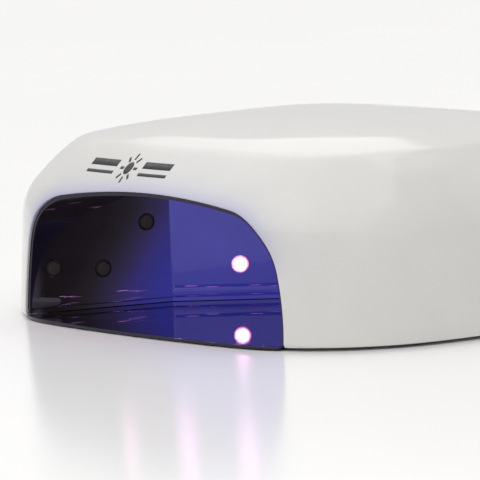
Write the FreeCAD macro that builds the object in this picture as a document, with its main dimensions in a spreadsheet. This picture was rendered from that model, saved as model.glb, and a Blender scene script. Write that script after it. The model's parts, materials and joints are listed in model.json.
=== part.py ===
import FreeCAD, Part
import math
import os
from FreeCAD import Placement, Rotation, Vector
from Sketcher import Constraint

# Desk lamp that cures nail gel with violet light: a glossy shell with an arched mouth, a mirrored
# cavity lined with light-emitting diodes, and a loose mirror tray for its floor.
# Origin: middle of the footprint, on the surface that the lamp stands on.
# +X right, +Y away from the user's hand, +Z up. Millimetres and degrees.

doc = FreeCAD.newDocument("gel_curing_lamp")
sizes = doc.addObject("Spreadsheet::Sheet", "Sizes")

DIMENSIONS = [
    # the plan outline: tangent arcs, mirrored left to right
    ("half_width", 135, "half of the overall width at the foot of the shell"),
    ("overall_depth", 240, "front to rear at the foot of the shell"),
    ("side_radius", 187, "plan radius of the bowed sides"),
    ("side_turn", 15.5, "angle that each side arc turns through"),
    ("front_corner_radius", 76, "plan radius of the front corners"),
    ("front_corner_end", 85, "angle at which a front corner meets the front arc"),
    ("rear_corner_radius", 80, "plan radius of the rear corners"),
    ("rear_corner_end", 83, "angle at which a rear corner meets the rear arc"),
    # the section of the shell, measured up from its lower edge
    ("lift", 1.5, "gap between the table and the lower edge of the shell"),
    ("shell_height", 88, "height of the shell over its lower edge"),
    ("shell_wall", 2.6, "thickness of the shell"),
    ("wall_draft", 3.44, "lean of the upright wall"),
    ("wall_height", 45, "height of the straight part of the wall"),
    ("shoulder_radius", 26.3, "radius from the wall into the shoulder"),
    ("shoulder_turn", 37.6, "angle that the shoulder radius turns through"),
    ("brow_radius", 110.7, "radius of the upper shoulder"),
    ("brow_slope", 34.5, "slope of the shoulder where the crown cuts it"),
    ("crown_squareness", 3.6, "exponent of the crown's level lines"),
    ("crown_fullness", 2.8, "exponent of the crown's fall from its middle"),
    # the arched mouth
    ("arch_height", 61.4, "mouth height over the lower edge of the shell"),
    ("arch_top_radius", 397, "radius of the arch's top"),
    ("arch_top_turn", 8.3, "half angle of the arch's top"),
    ("arch_corner_radius", 32.5, "radius of the arch's corners"),
    ("arch_corner_end", 77.8, "angle at which a corner meets the jamb"),
    ("arch_jamb_radius", 147, "radius of the bowed jambs"),
    # the mirrored cavity
    ("cavity_mouth_half", 86, "half width of the cavity at the mouth"),
    ("cavity_mouth_setback", 12, "distance of that width behind the front"),
    ("cavity_corner_half", 62, "half width where the side walls end"),
    ("cavity_corner_setback", 77, "distance of those corners behind the front"),
    ("cavity_rear_half", 20, "half width of the rear wall"),
    ("liner_wall", 1.6, "thickness of the liner"),
    ("liner_gap", 0.3, "gap between the liner and the mouth of the shell"),
    ("liner_setback", 1.9, "how far the liner's front edge is inside the shell's surface"),
    ("bead_low", 2.3, "underside of the bead, over the shell's lower edge"),
    ("bead_high", 8, "top of the bead"),
    ("bead_depth", 1.2, "how far the bead stands into the cavity"),
    ("flange_width", 9, "width of the liner's foot flange"),
    ("flange_thickness", 1.8, "thickness of the liner's foot flange"),
    # the light sources
    ("lens_radius", 4, "radius of each lens"),
    ("lens_clearance", 0.15, "gap round a lens in its hole"),
    ("lens_flange_radius", 5.2, "radius of the lens flange behind the liner"),
    ("lens_flange_thickness", 1, "thickness of the lens flange"),
    ("lens_stand", 0.5, "how far a lens stands into the cavity"),
    ("emitter_side", 3.5, "side of the square emitter package"),
    ("emitter_height", 0.8, "height of the emitter package"),
    ("lamp_board_thickness", 1.5, "thickness of the aluminium lamp boards"),
    # the base
    ("frame_clearance", 0.5, "gap between the base frame and the shell"),
    ("frame_bottom", 2.2, "underside of the base frame over the table"),
    ("frame_thickness", 2.5, "thickness of the base frame"),
    ("tray_bottom", 0.6, "underside of the tray over the table"),
    ("tray_thickness", 1.3, "thickness of the tray"),
    ("tray_half", 86, "half width of the tray"),
    ("foot_radius", 7, "radius of each foot"),
    ("screw_shank", 1.25, "shank radius of the screws"),
    ("screw_head", 2.8, "head radius of the screws"),
    # the controls
    ("button_radius", 6, "radius of each timer button"),
    ("button_gap", 0.3, "gap round a button in the shell"),
    ("button_pitch", 24, "spacing of the timer buttons"),
    ("button_back", 72, "distance of the buttons behind the origin"),
    ("button_sink", 0.3, "how far a button lies under the crown"),
    ("control_board_top", 72, "top of the control board over the table"),
    ("board_thickness", 1.6, "thickness of the control and power boards"),
    # the rear panel
    ("recess_floor", 112.5, "distance of the rear recess's floor behind the origin"),
    ("recess_half", 42, "half width of the rear recess"),
    ("recess_low", 11, "lower edge of the rear recess"),
    ("recess_high", 33, "upper edge of the rear recess"),
    ("panel_centre", 22, "height of the switch and the inlet over the table"),
    ("switch_offset", 20, "distance of the switch from the middle"),
    ("inlet_offset", 22, "distance of the inlet from the middle"),
    ("rocker_tilt", 8, "tilt of the rocker either side of level"),
    ("inlet_pin_radius", 1.05, "radius of the inlet's centre pin"),
]
for row, (alias, value, meaning) in enumerate(DIMENSIONS, start=1):
    sizes.set(f"A{row}", meaning)
    sizes.set(f"B{row}", str(value))
    sizes.setAlias(f"B{row}", alias)
doc.recompute()


class SheetReader:
    """Reads the value of a cell by its alias."""

    def __getattr__(self, alias):
        return float(sizes.get(alias))


size = SheetReader()
pieces = []


# ------------------------------------------------------------------ helpers

def rad(degrees):
    return math.radians(degrees)


def keep(label, obj):
    """Mark a document object as one physical piece of the lamp."""
    obj.Label = label
    pieces.append(obj)
    return obj


def feature(label, shape):
    """A piece that holds a shape worked out from the sheet, for forms that no primitive gives."""
    obj = doc.addObject("Part::Feature", label)
    obj.Shape = shape
    obj.Placement = Placement()
    return keep(label, obj)


def put(obj, place_at, rotation=None):
    """Turn an object and bind its position to three expressions."""
    if rotation:
        obj.Placement = Placement(Vector(), rotation)
    for axis, value in zip("xyz", place_at):
        obj.setExpression(f"Placement.Base.{axis}", str(value))
    return obj


def cylinder(radius, height, place_at, rotation=None):
    """A Part cylinder whose size and position follow expressions."""
    obj = doc.addObject("Part::Cylinder", "cylinder")
    obj.setExpression("Radius", str(radius))
    obj.setExpression("Height", str(height))
    return put(obj, place_at, rotation)


def cuboid(place_at, sides, rotation=None):
    """A Part box whose sides and lowest corner follow expressions."""
    obj = doc.addObject("Part::Box", "cuboid")
    for side, value in zip(("Length", "Width", "Height"), sides):
        obj.setExpression(side, str(value))
    return put(obj, place_at, rotation)


def less(base, tool):
    """A solid with another one cut out of it."""
    obj = doc.addObject("Part::Cut", "less")
    obj.Base = base
    obj.Tool = tool
    return obj


def shared(base, tool):
    """The part of a solid that lies inside another one."""
    obj = doc.addObject("Part::Common", "shared")
    obj.Base = base
    obj.Tool = tool
    return obj


def merged(shapes):
    obj = doc.addObject("Part::MultiFuse", "merged")
    obj.Shapes = shapes
    return obj


def group(label, members):
    """One piece made of several separate solids."""
    obj = doc.addObject("Part::Compound", label)
    obj.Links = members
    return keep(label, obj)


def box(x0, x1, y0, y1, z0, z1):
    return Part.makeBox(x1 - x0, y1 - y0, z1 - z0, Vector(x0, y0, z0))


def rod(radius, start, length, direction=Vector(0, 0, 1)):
    return Part.makeCylinder(radius, length, start, direction)


def line(a, b):
    return Part.LineSegment(a, b).toShape()


def arc(a, b, c):
    return Part.Arc(a, b, c).toShape()


def polygon_prism(points, z0, z1):
    """An upright prism over a closed polygon of (x, y) points."""
    corners = [Vector(x, y, z0) for x, y in points]
    return Part.Face(Part.makePolygon(corners + corners[:1])).extrude(Vector(0, 0, z1 - z0))


def origin_plane(body, role):
    return next(item for item in body.Origin.OriginFeatures if item.Role == role)


def new_body(label):
    return doc.addObject("PartDesign::Body", label)


def new_sketch(body, name, height, role="XY_Plane"):
    """A sketch parallel to one of the body's own origin planes, at a bound distance from it."""
    sketch = body.newObject("Sketcher::SketchObject", name)
    sketch.AttachmentSupport = [(origin_plane(body, role), "")]
    sketch.MapMode = "FlatFace"
    sketch.setExpression("AttachmentOffset.Base.z", height)
    return sketch


def bind(sketch, constraint, expression):
    index = sketch.addConstraint(constraint)
    sketch.setExpression(f"Constraints[{index}]", expression)


def add_rectangle(sketch, left, low, width, depth):
    """A rectangle whose corner and sides follow expressions."""
    first = sketch.GeometryCount
    corners = [Vector(0, 0, 0), Vector(10, 0, 0), Vector(10, 10, 0), Vector(0, 10, 0)]
    for index in range(4):
        sketch.addGeometry(Part.LineSegment(corners[index], corners[(index + 1) % 4]))
    for index in range(4):
        following = (index + 1) % 4
        sketch.addConstraint(Constraint("Coincident", first + index, 2, first + following, 1))
    for index, kind in enumerate(("Horizontal", "Vertical", "Horizontal", "Vertical")):
        sketch.addConstraint(Constraint(kind, first + index))
    bind(sketch, Constraint("DistanceX", first, 1, first, 2, 10), width)
    bind(sketch, Constraint("DistanceY", first + 1, 1, first + 1, 2, 10), depth)
    bind(sketch, Constraint("DistanceX", -1, 1, first, 1, 1), left)
    bind(sketch, Constraint("DistanceY", -1, 1, first, 1, 1), low)


def add_circle(sketch, x, y, radius):
    """A circle whose centre and radius follow expressions."""
    index = sketch.addGeometry(Part.Circle(Vector(1, 1, 0), Vector(0, 0, 1), 1))
    bind(sketch, Constraint("DistanceX", -1, 1, index, 3, 1), x)
    bind(sketch, Constraint("DistanceY", -1, 1, index, 3, 1), y)
    bind(sketch, Constraint("Radius", index, 1), radius)


def pad(body, sketch, length):
    result = body.newObject("PartDesign::Pad", sketch.Name + "_pad")
    result.Profile = sketch
    result.setExpression("Length", length)
    return result


def pocket_up(body, sketch, depth):
    """Cut upwards from a sketch that lies on or under the solid's lower face."""
    before = body.Shape.Volume
    result = body.newObject("PartDesign::Pocket", sketch.Name + "_pocket")
    result.Profile = sketch
    result.Reversed = True
    result.setExpression("Length", depth)
    doc.recompute()
    if body.Shape.Volume >= before:
        raise RuntimeError(f"{sketch.Name} cut nothing")
    return result


# ------------------------------------------------------------------ the shell's form

FRONT = -size.overall_depth / 2


def end_geometry(corner_radius, corner_end):
    """Centres of one end's arcs, measured from the point where the outline is widest."""
    side_x = size.half_width - size.side_radius
    corner_x = side_x + (size.side_radius - corner_radius) * math.cos(rad(size.side_turn))
    corner_y = (size.side_radius - corner_radius) * math.sin(rad(size.side_turn))
    end_radius = corner_radius + corner_x / math.cos(rad(corner_end))
    end_y = corner_y - (end_radius - corner_radius) * math.sin(rad(corner_end))
    return side_x, corner_x, corner_y, end_radius, end_y


def end_points(corner_radius, corner_end, widest_y, sign, inset):
    """Seven points on one end of the +X half: three arcs from the widest point to the middle."""
    side_x, corner_x, corner_y, end_radius, end_y = end_geometry(corner_radius, corner_end)
    arcs = [
        (side_x, 0, size.side_radius, 0, size.side_turn),
        (corner_x, corner_y, corner_radius, size.side_turn, corner_end),
        (0, end_y, end_radius, corner_end, 90),
    ]
    points = []
    for centre_x, centre_y, radius, start, stop in arcs:
        for angle in (start, (start + stop) / 2, stop):
            reach = radius - inset
            x = centre_x + reach * math.cos(rad(angle))
            y = centre_y + reach * math.sin(rad(angle))
            points.append(Vector(x, widest_y + sign * y, 0))
    return points[:3] + points[4:6] + points[7:]


def end_reach(corner_radius, corner_end):
    geometry = end_geometry(corner_radius, corner_end)
    return geometry[3] + geometry[4]


def three_arcs(points):
    return [arc(*points[start:start + 3]) for start in (0, 2, 4)]


def plan_wire(inset, z=0.0):
    """The plan outline, moved inwards by inset."""
    front_widest = FRONT + end_reach(size.front_corner_radius, size.front_corner_end)
    rear_widest = -FRONT - end_reach(size.rear_corner_radius, size.rear_corner_end)
    front = end_points(size.front_corner_radius, size.front_corner_end, front_widest, -1, inset)
    rear = end_points(size.rear_corner_radius, size.rear_corner_end, rear_widest, 1, inset)

    def mirrored(points):
        return [Vector(-p.x, p.y, 0) for p in points]

    edges = three_arcs(front[::-1]) + [line(front[0], rear[0])] + three_arcs(rear)
    edges += three_arcs(mirrored(rear)[::-1]) + [line(mirrored(rear)[0], mirrored(front)[0])]
    edges += three_arcs(mirrored(front))
    wire = Part.Wire(edges)
    wire.translate(Vector(0, 0, z))
    return wire


def turned(point, centre, degrees):
    """A point turned clockwise about a centre, both as (inset, height)."""
    c, s = math.cos(rad(degrees)), math.sin(rad(degrees))
    dx, dz = point[0] - centre[0], point[1] - centre[1]
    return centre[0] + dx * c + dz * s, centre[1] - dx * s + dz * c


RUN_ON_TURN = 5     # how far the shoulder's arc runs on past the rim, before the crown cuts it
OVERSHOOT = 12      # how far the shoulder then rises straight on


def section_points():
    """Points on the shoulder's two arcs, as (inset, height) from the lower edge."""
    draft = size.wall_draft
    wall_top = (math.tan(rad(draft)) * size.wall_height, size.wall_height)
    shoulder_centre = (wall_top[0] + size.shoulder_radius * math.cos(rad(draft)),
                       wall_top[1] - size.shoulder_radius * math.sin(rad(draft)))
    shoulder_mid = turned(wall_top, shoulder_centre, size.shoulder_turn / 2)
    shoulder_end = turned(wall_top, shoulder_centre, size.shoulder_turn)
    ratio = size.brow_radius / size.shoulder_radius
    brow_centre = tuple(end + (centre - end) * ratio
                        for end, centre in zip(shoulder_end, shoulder_centre))
    brow_turn = 90 - draft - size.shoulder_turn - size.brow_slope
    rim = turned(shoulder_end, brow_centre, brow_turn)
    brow_end = turned(shoulder_end, brow_centre, brow_turn + RUN_ON_TURN)
    return wall_top, shoulder_mid, shoulder_end, rim, brow_end


RING_DEPTH = 60     # how far the swept section reaches inwards, less than the corner radius
CORE_INSET = 50     # inset of the core that fills the ring


def shell_form(inset):
    """The solid inside the shell's outer surface, moved inwards and down by inset."""
    base = size.lift
    wall_top, shoulder_mid, shoulder_end, rim, brow_end = section_points()
    end_slope = rad(size.brow_slope - RUN_ON_TURN)
    run_on = (brow_end[0] + OVERSHOOT / math.tan(end_slope), brow_end[1] + OVERSHOOT)

    def at(point):
        return Vector(0, FRONT + inset + point[0], base + point[1] - inset)

    foot = Vector(0, FRONT + inset, base)
    inner_top = Vector(0, FRONT + inset + RING_DEPTH, at(run_on).z)
    inner_foot = Vector(0, FRONT + inset + RING_DEPTH, base)
    section = Part.Wire([
        line(foot, at(wall_top)),
        arc(at(wall_top), at(shoulder_mid), at(shoulder_end)),
        arc(at(shoulder_end), at(rim), at(brow_end)),
        line(at(brow_end), at(run_on)),
        line(at(run_on), inner_top),
        line(inner_top, inner_foot),
        line(inner_foot, foot),
    ])
    ring = plan_wire(inset, base).makePipe(Part.Face(section))
    core = Part.Face(plan_wire(CORE_INSET + inset, base)).extrude(Vector(0, 0, inner_top.z - base))
    return ring.fuse(core).common(crown_form(inset, rim))


def crown_height(x, y, rim):
    """Height of the crown over the shell's lower edge; it passes through the shoulder's rim."""
    rim_x = size.half_width - rim[0]
    rim_y = size.overall_depth / 2 - rim[0]
    fall = size.shell_height - rim[1]
    squareness = size.crown_squareness
    level = (abs(x) / rim_x) ** squareness + (abs(y) / rim_y) ** squareness
    return size.shell_height - fall * level ** (size.crown_fullness / squareness)


CROWN_STATIONS = 17     # stations each way in the crown's surface
CROWN_REACH = 0.985     # how much of the plan's half sizes the crown's surface covers


def crown_form(inset, rim):
    """Everything under the crown's smooth surface, lowered by inset."""
    half_x, half_y = size.half_width * CROWN_REACH, size.overall_depth / 2 * CROWN_REACH
    grid = []
    for row in range(CROWN_STATIONS):
        x = half_x * (2 * row / (CROWN_STATIONS - 1) - 1)
        stations = []
        for column in range(CROWN_STATIONS):
            y = half_y * (2 * column / (CROWN_STATIONS - 1) - 1)
            stations.append(Vector(x, y, size.lift + crown_height(x, y, rim) - inset))
        grid.append(stations)
    surface = Part.BSplineSurface()
    surface.interpolate(grid)
    under = surface.toShape().extrude(Vector(0, 0, -2 * size.shell_height))
    skirt_top = size.lift + section_points()[2][1] - inset
    skirt = Part.Face(plan_wire(-1, 0)).extrude(Vector(0, 0, skirt_top))
    return under.fuse(skirt)


def arch_wire(inset, y):
    """The mouth's outline, moved inwards by inset, in a plane across Y."""
    base = size.lift
    top_radius = size.arch_top_radius
    top_z = size.arch_height - top_radius
    corner_reach = top_radius - size.arch_corner_radius
    corner_x = corner_reach * math.sin(rad(size.arch_top_turn))
    corner_z = top_z + corner_reach * math.cos(rad(size.arch_top_turn))
    jamb_reach = size.arch_corner_radius - size.arch_jamb_radius
    jamb_x = corner_x + jamb_reach * math.sin(rad(size.arch_corner_end))
    jamb_z = corner_z + jamb_reach * math.cos(rad(size.arch_corner_end))

    def at(centre_x, centre_z, radius, angle, side):
        x = centre_x + (radius - inset) * math.sin(rad(angle))
        z = centre_z + (radius - inset) * math.cos(rad(angle))
        return Vector(side * x, y, base + z)

    def half(side):
        corner_mid = (size.arch_top_turn + size.arch_corner_end) / 2
        jamb_mid = (size.arch_corner_end + 90) / 2
        return [
            at(0, top_z, top_radius, size.arch_top_turn, side),
            at(corner_x, corner_z, size.arch_corner_radius, corner_mid, side),
            at(corner_x, corner_z, size.arch_corner_radius, size.arch_corner_end, side),
            at(jamb_x, jamb_z, size.arch_jamb_radius, jamb_mid, side),
            at(jamb_x, jamb_z, size.arch_jamb_radius, 90, side),
        ]

    right, left = half(1), half(-1)
    apex = Vector(0, y, base + size.arch_height - inset)
    right_foot = Vector(right[4].x, y, 0)
    left_foot = Vector(left[4].x, y, 0)
    return Part.Wire([
        arc(left[0], apex, right[0]), arc(*right[:3]), arc(*right[2:]),
        line(right[4], right_foot), line(right_foot, left_foot), line(left_foot, left[4]),
        arc(*left[:1:-1]), arc(*left[2::-1]),
    ])


def arch_prism(inset, y0, y1):
    return Part.Face(arch_wire(inset, y0)).extrude(Vector(0, y1 - y0, 0))


# ------------------------------------------------------------------ the cavity's form

MOUTH_Y = FRONT + size.cavity_mouth_setback
CORNER_Y = FRONT + size.cavity_corner_setback
REAR_Y = CORNER_Y + size.cavity_corner_half - size.cavity_rear_half


def cavity_plan(offset):
    """The cavity's plan: converging sides, panels at 45 degrees and a short rear wall."""
    slope = (size.cavity_mouth_half - size.cavity_corner_half) / (CORNER_Y - MOUTH_Y)
    open_y = FRONT - 20
    open_half = size.cavity_mouth_half + slope * (MOUTH_Y - open_y)
    half = [(open_half, open_y), (size.cavity_corner_half, CORNER_Y), (size.cavity_rear_half, REAR_Y)]
    outline = half + [(-x, y) for x, y in half[::-1]]
    corners = [Vector(x, y, 0) for x, y in outline]
    wire = Part.makePolygon(corners + corners[:1])
    return wire.makeOffset2D(offset, 2) if offset else wire


def cavity_prism(offset, z0, z1):
    wire = cavity_plan(offset)
    wire.translate(Vector(0, 0, z0))
    return Part.Face(wire).extrude(Vector(0, 0, z1 - z0))


def cavity_form(plan_offset, arch_inset, z0):
    top = size.lift + size.arch_height
    prism = cavity_prism(plan_offset, z0, top)
    return prism.common(arch_prism(arch_inset, FRONT - 25, REAR_Y + 10))


class Panel:
    """An upright wall of the cavity: a point on its inner face, the way along it and outwards."""

    def __init__(self, start, end):
        self.start = Vector(start[0], start[1], 0)
        span = Vector(end[0], end[1], 0) - self.start
        self.length = span.Length
        self.along = span.normalize()
        side = Vector(self.along.y, -self.along.x, 0)
        middle = self.start + self.along * (self.length / 2)
        self.outward = side if side.dot(middle - Vector(0, CORNER_Y, 0)) > 0 else side * -1

    def point(self, distance, height):
        return self.start + self.along * distance + Vector(0, 0, height)

    def slab(self, t0, t1, z0, z1, n0, n1):
        """A box between two stations, heights and depths behind the panel."""
        corners = [self.point(t, 0) + self.outward * n for t, n in ((t0, n0), (t1, n0), (t1, n1), (t0, n1))]
        return polygon_prism([(p.x, p.y) for p in corners], z0, z1)


def side_panels(side):
    mouth = (side * size.cavity_mouth_half, MOUTH_Y)
    corner = (side * size.cavity_corner_half, CORNER_Y)
    rear = (side * size.cavity_rear_half, REAR_Y)
    return Panel(mouth, corner), Panel(corner, rear)


RIGHT_SIDE, RIGHT_CORNER = side_panels(1)
LEFT_SIDE, LEFT_CORNER = side_panels(-1)
REAR_WALL = Panel((size.cavity_rear_half, REAR_Y), (-size.cavity_rear_half, REAR_Y))

# each bank of lights: its panel, and the station and height of every lens
SIDE_LIGHTS = [(12, 22), (36, 20), (58, 40)]
CORNER_LIGHTS = [(31.9, 18.6)]
REAR_LIGHTS = [(size.cavity_rear_half, 20)]
BANKS = {
    "left_side": (LEFT_SIDE, SIDE_LIGHTS, (6, 64, 13, 49)),
    "right_side": (RIGHT_SIDE, SIDE_LIGHTS, (6, 64, 13, 49)),
    "left_corner": (LEFT_CORNER, CORNER_LIGHTS, (14, 46, 10, 34)),
    "right_corner": (RIGHT_CORNER, CORNER_LIGHTS, (14, 46, 10, 34)),
    "rear": (REAR_WALL, REAR_LIGHTS, (7, 33, 10, 34)),
}
ROOF_LIGHTS = [(-42, -88), (0, -88), (42, -88), (-42, -56), (0, -56), (42, -56), (0, -24)]


def roof_height(x):
    """Height of the cavity's roof over the table."""
    inner_radius = size.arch_top_radius - size.liner_gap - size.liner_wall
    crown = size.lift + size.arch_height - size.liner_gap - size.liner_wall
    return crown - (inner_radius - math.sqrt(inner_radius ** 2 - x ** 2))


ROOF_TOP = roof_height(0) + size.liner_wall
ROOF_FLANGE = ROOF_TOP + 0.2
ROOF_BOARD = ROOF_FLANGE + size.lens_flange_thickness


# ------------------------------------------------------------------ shell and liner

FRAME_TOP = size.frame_bottom + size.frame_thickness
BOSS_POINTS = [(98, -78), (-98, -78), (96, 78), (-96, 78)]
BOARD_BOSS_POINTS = [(36, 56), (-36, 56), (36, 82), (-36, 82)]
BUTTON_XS = [-size.button_pitch, 0.0, size.button_pitch]
LIGHT_PIPE_BACK = size.button_back - 12
BOSS_RADIUS = 4
BOARD_BOSS_RADIUS = 3
PILOT_DEPTH = 13                # depth of the pilot holes in the four tall bosses
BOARD_PILOT_DEPTH = 6           # depth of the pilot holes over the control board
CROWN_HOLE_FOOT = 76            # height from which the holes through the crown are cut
CROWN_HOLE_LENGTH = 15
LIGHT_PIPE_HOLE = 1.35
RECESS_SIDE_MARGIN = 3          # how far the thicker shell reaches past the rear recess
RECESS_LOW_MARGIN = 2
PANEL_CLEARANCE = 0.2           # gap round the switch case and the inlet in the rear panel
PAST = 5                        # how far cutting tools run on past the surface that they open
MOUTH_CUT = 25                  # depth of the cut that opens the mouth, behind the front
SWITCH_CASE_HALF = 9.6          # half width of the switch case
SWITCH_CASE_HALF_HEIGHT = 6.45
BARREL_RADIUS = 5.4             # outside radius of the inlet's barrel
PILOT_RADIUS = size.screw_shank + 0.05


def make_upper_housing():
    """The glossy shell, with its mouth, screw bosses, button holes and rear recess."""
    outer = shell_form(0)
    inner = shell_form(size.shell_wall)
    shell = outer.cut(inner)
    thick_half = size.recess_half + RECESS_SIDE_MARGIN
    thickening = box(-thick_half, thick_half, size.recess_floor - size.shell_wall, -FRONT + PAST,
                     size.recess_low - RECESS_LOW_MARGIN, size.recess_high + RECESS_SIDE_MARGIN)
    bosses = [rod(BOSS_RADIUS, Vector(x, y, FRAME_TOP), size.shell_height) for x, y in BOSS_POINTS]
    bosses += [rod(BOARD_BOSS_RADIUS, Vector(x, y, size.control_board_top), size.shell_height)
               for x, y in BOARD_BOSS_POINTS]
    for addition in bosses + [thickening]:
        shell = shell.fuse(addition.common(outer))
    recess = box(-size.recess_half, size.recess_half, size.recess_floor, -FRONT + PAST,
                 size.recess_low, size.recess_high)
    cuts = [arch_prism(0, FRONT - PAST, FRONT + MOUTH_CUT), recess]
    cuts += [rod(PILOT_RADIUS, Vector(x, y, FRAME_TOP - 1), PILOT_DEPTH + 1) for x, y in BOSS_POINTS]
    cuts += [rod(PILOT_RADIUS, Vector(x, y, size.control_board_top - 1), BOARD_PILOT_DEPTH + 1)
             for x, y in BOARD_BOSS_POINTS]
    for x in BUTTON_XS:
        button_foot = Vector(x, size.button_back, CROWN_HOLE_FOOT)
        pipe_foot = Vector(x, LIGHT_PIPE_BACK, CROWN_HOLE_FOOT)
        cuts.append(rod(size.button_radius + size.button_gap, button_foot, CROWN_HOLE_LENGTH))
        cuts.append(rod(LIGHT_PIPE_HOLE, pipe_foot, CROWN_HOLE_LENGTH))
    hole_x = SWITCH_CASE_HALF + PANEL_CLEARANCE
    hole_z = SWITCH_CASE_HALF_HEIGHT + PANEL_CLEARANCE
    panel_back = size.recess_floor - size.shell_wall - 1
    panel_depth = size.shell_wall + 2
    cuts.append(box(-size.switch_offset - hole_x, -size.switch_offset + hole_x, panel_back,
                    panel_back + panel_depth, size.panel_centre - hole_z, size.panel_centre + hole_z))
    inlet_back = Vector(size.inlet_offset, panel_back, size.panel_centre)
    cuts.append(rod(BARREL_RADIUS + PANEL_CLEARANCE, inlet_back, panel_depth, Vector(0, 1, 0)))
    for tool in cuts:
        shell = shell.cut(tool)
    return feature("upper_housing", shell)


LENS_HOLE_LENGTH = 12       # length of the tool that cuts a lens hole, from PAST inside the cavity
BEAD_START = 1              # distance behind the mouth at which the bead starts
BEAD_ROOT = 0.2             # how far the bead reaches into the wall and the roof that it joins


def light_hole(panel, distance, height):
    start = panel.point(distance, height) - panel.outward * PAST
    return rod(size.lens_radius + size.lens_clearance, start, LENS_HOLE_LENGTH, panel.outward)


def make_reflector_liner():
    """The mirrored liner: faceted walls under an arched roof, with a bead along its foot."""
    floor = size.frame_bottom
    shell_inset = size.liner_gap
    cavity_inset = size.liner_gap + size.liner_wall
    solid = cavity_form(size.liner_wall, shell_inset, floor)
    cavity = cavity_form(0, cavity_inset, floor - 1)
    flange_top = FRAME_TOP + size.flange_thickness
    flange = cavity_prism(size.liner_wall + size.flange_width, FRAME_TOP, flange_top)
    flange_start = MOUTH_Y + size.cavity_mouth_setback
    behind_mouth = box(-size.half_width, size.half_width, flange_start, -FRONT, 0, size.shell_height)
    solid = solid.fuse(flange.common(behind_mouth)).cut(cavity)
    bead_band = cavity_prism(BEAD_ROOT, size.lift + size.bead_low, size.lift + size.bead_high)
    bead = bead_band.cut(cavity_prism(-size.bead_depth, 0, size.shell_height))
    bead = bead.common(arch_prism(cavity_inset - BEAD_ROOT, MOUTH_Y + BEAD_START, -FRONT))
    solid = solid.fuse(bead).common(shell_form(size.liner_setback))
    for panel, lights, _ in BANKS.values():
        for distance, height in lights:
            solid = solid.cut(light_hole(panel, distance, height))
    for x, y in ROOF_LIGHTS:
        start = Vector(x, y, roof_height(x) - PAST)
        solid = solid.cut(rod(size.lens_radius + size.lens_clearance, start, LENS_HOLE_LENGTH))
    for x, y in LINER_SCREWS:
        solid = solid.cut(rod(size.screw_shank + 0.15, Vector(x, y, floor), flange_top - floor + 1))
    return feature("reflector_liner", solid.removeSplitter())


FLANGE_MIDDLE = size.liner_wall + size.flange_width / 2


def flange_point(panel, distance):
    point = panel.point(distance, 0) + panel.outward * (FLANGE_MIDDLE + 0.8)
    return point.x, point.y


LINER_SCREWS = [flange_point(LEFT_SIDE, 36), flange_point(RIGHT_SIDE, 36),
                flange_point(LEFT_CORNER, 40), flange_point(RIGHT_CORNER, 40)]


# ------------------------------------------------------------------ lights

LENS_DOME = 0.6             # height of the domed tip
LENS_HOLLOW_RADIUS = 2.7
LENS_HOLLOW_DEPTH = 1.3


def lens_shape(tip_length):
    """A lens: a barrel with a shallow domed tip and a flange, hollow behind for the emitter."""
    radius, flange = size.lens_radius, size.lens_flange_radius
    thickness = size.lens_flange_thickness
    hollow, depth = LENS_HOLLOW_RADIUS, LENS_HOLLOW_DEPTH
    dome = LENS_DOME
    dome_radius = (radius ** 2 + dome ** 2) / (2 * dome)
    half_angle = math.asin(radius / dome_radius) / 2
    dome_mid = Vector(dome_radius * math.sin(half_angle), 0,
                      tip_length - dome_radius * (1 - math.cos(half_angle)))
    profile = Part.Wire([
        line(Vector(0, 0, depth), Vector(hollow, 0, depth)),
        line(Vector(hollow, 0, depth), Vector(hollow, 0, 0)),
        line(Vector(hollow, 0, 0), Vector(flange, 0, 0)),
        line(Vector(flange, 0, 0), Vector(flange, 0, thickness)),
        line(Vector(flange, 0, thickness), Vector(radius, 0, thickness)),
        line(Vector(radius, 0, thickness), Vector(radius, 0, tip_length - dome)),
        arc(Vector(radius, 0, tip_length - dome), dome_mid, Vector(0, 0, tip_length)),
        line(Vector(0, 0, tip_length), Vector(0, 0, depth)),
    ])
    return Part.Face(profile).revolve(Vector(0, 0, 0), Vector(0, 0, 1), 360)


SOLDER_GAP = 0.05           # gap between an emitter and its board


def emitter(seat, direction):
    """A square emitter package behind a lens."""
    turn = Rotation(Vector(0, 0, 1), direction)
    half = size.emitter_side / 2
    corner = seat + turn.multVec(Vector(-half, -half, SOLDER_GAP))
    sides = ("Sizes.emitter_side", "Sizes.emitter_side", f"Sizes.emitter_height - {SOLDER_GAP}")
    return cuboid(corner, sides, turn)


def placed(shape, base, direction):
    """A copy of a shape whose +Z points along a direction, with its origin at a point."""
    copy = shape.copy()
    copy.Placement = Placement(base, Rotation(Vector(0, 0, 1), direction))
    return copy


def make_bank(name, panel, lights, board):
    """Lenses, emitters and board behind one wall of the liner."""
    flange_back = size.liner_wall + 0.1 + size.lens_flange_thickness
    tip_length = flange_back + size.lens_stand
    lenses, emitters = [], []
    for distance, height in lights:
        seat = panel.point(distance, height) + panel.outward * flange_back
        lenses.append(placed(lens_shape(tip_length), seat, panel.outward * -1))
        emitters.append(emitter(seat, panel.outward * -1))
    feature(f"{name}_lenses", Part.makeCompound(lenses))
    group(f"{name}_emitters", emitters)
    t0, t1, z0, z1 = board
    turn = Rotation(Vector(0, 0, 1), math.degrees(math.atan2(panel.along.y, panel.along.x)))
    faces_out = turn.multVec(Vector(0, 1, 0)).dot(panel.outward) > 0
    depth = flange_back if faces_out else flange_back + size.lamp_board_thickness
    corner = panel.point(t0, z0) + panel.outward * depth
    keep(f"{name}_lamp_board", cuboid(corner, (t1 - t0, "Sizes.lamp_board_thickness", z1 - z0), turn))


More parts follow.
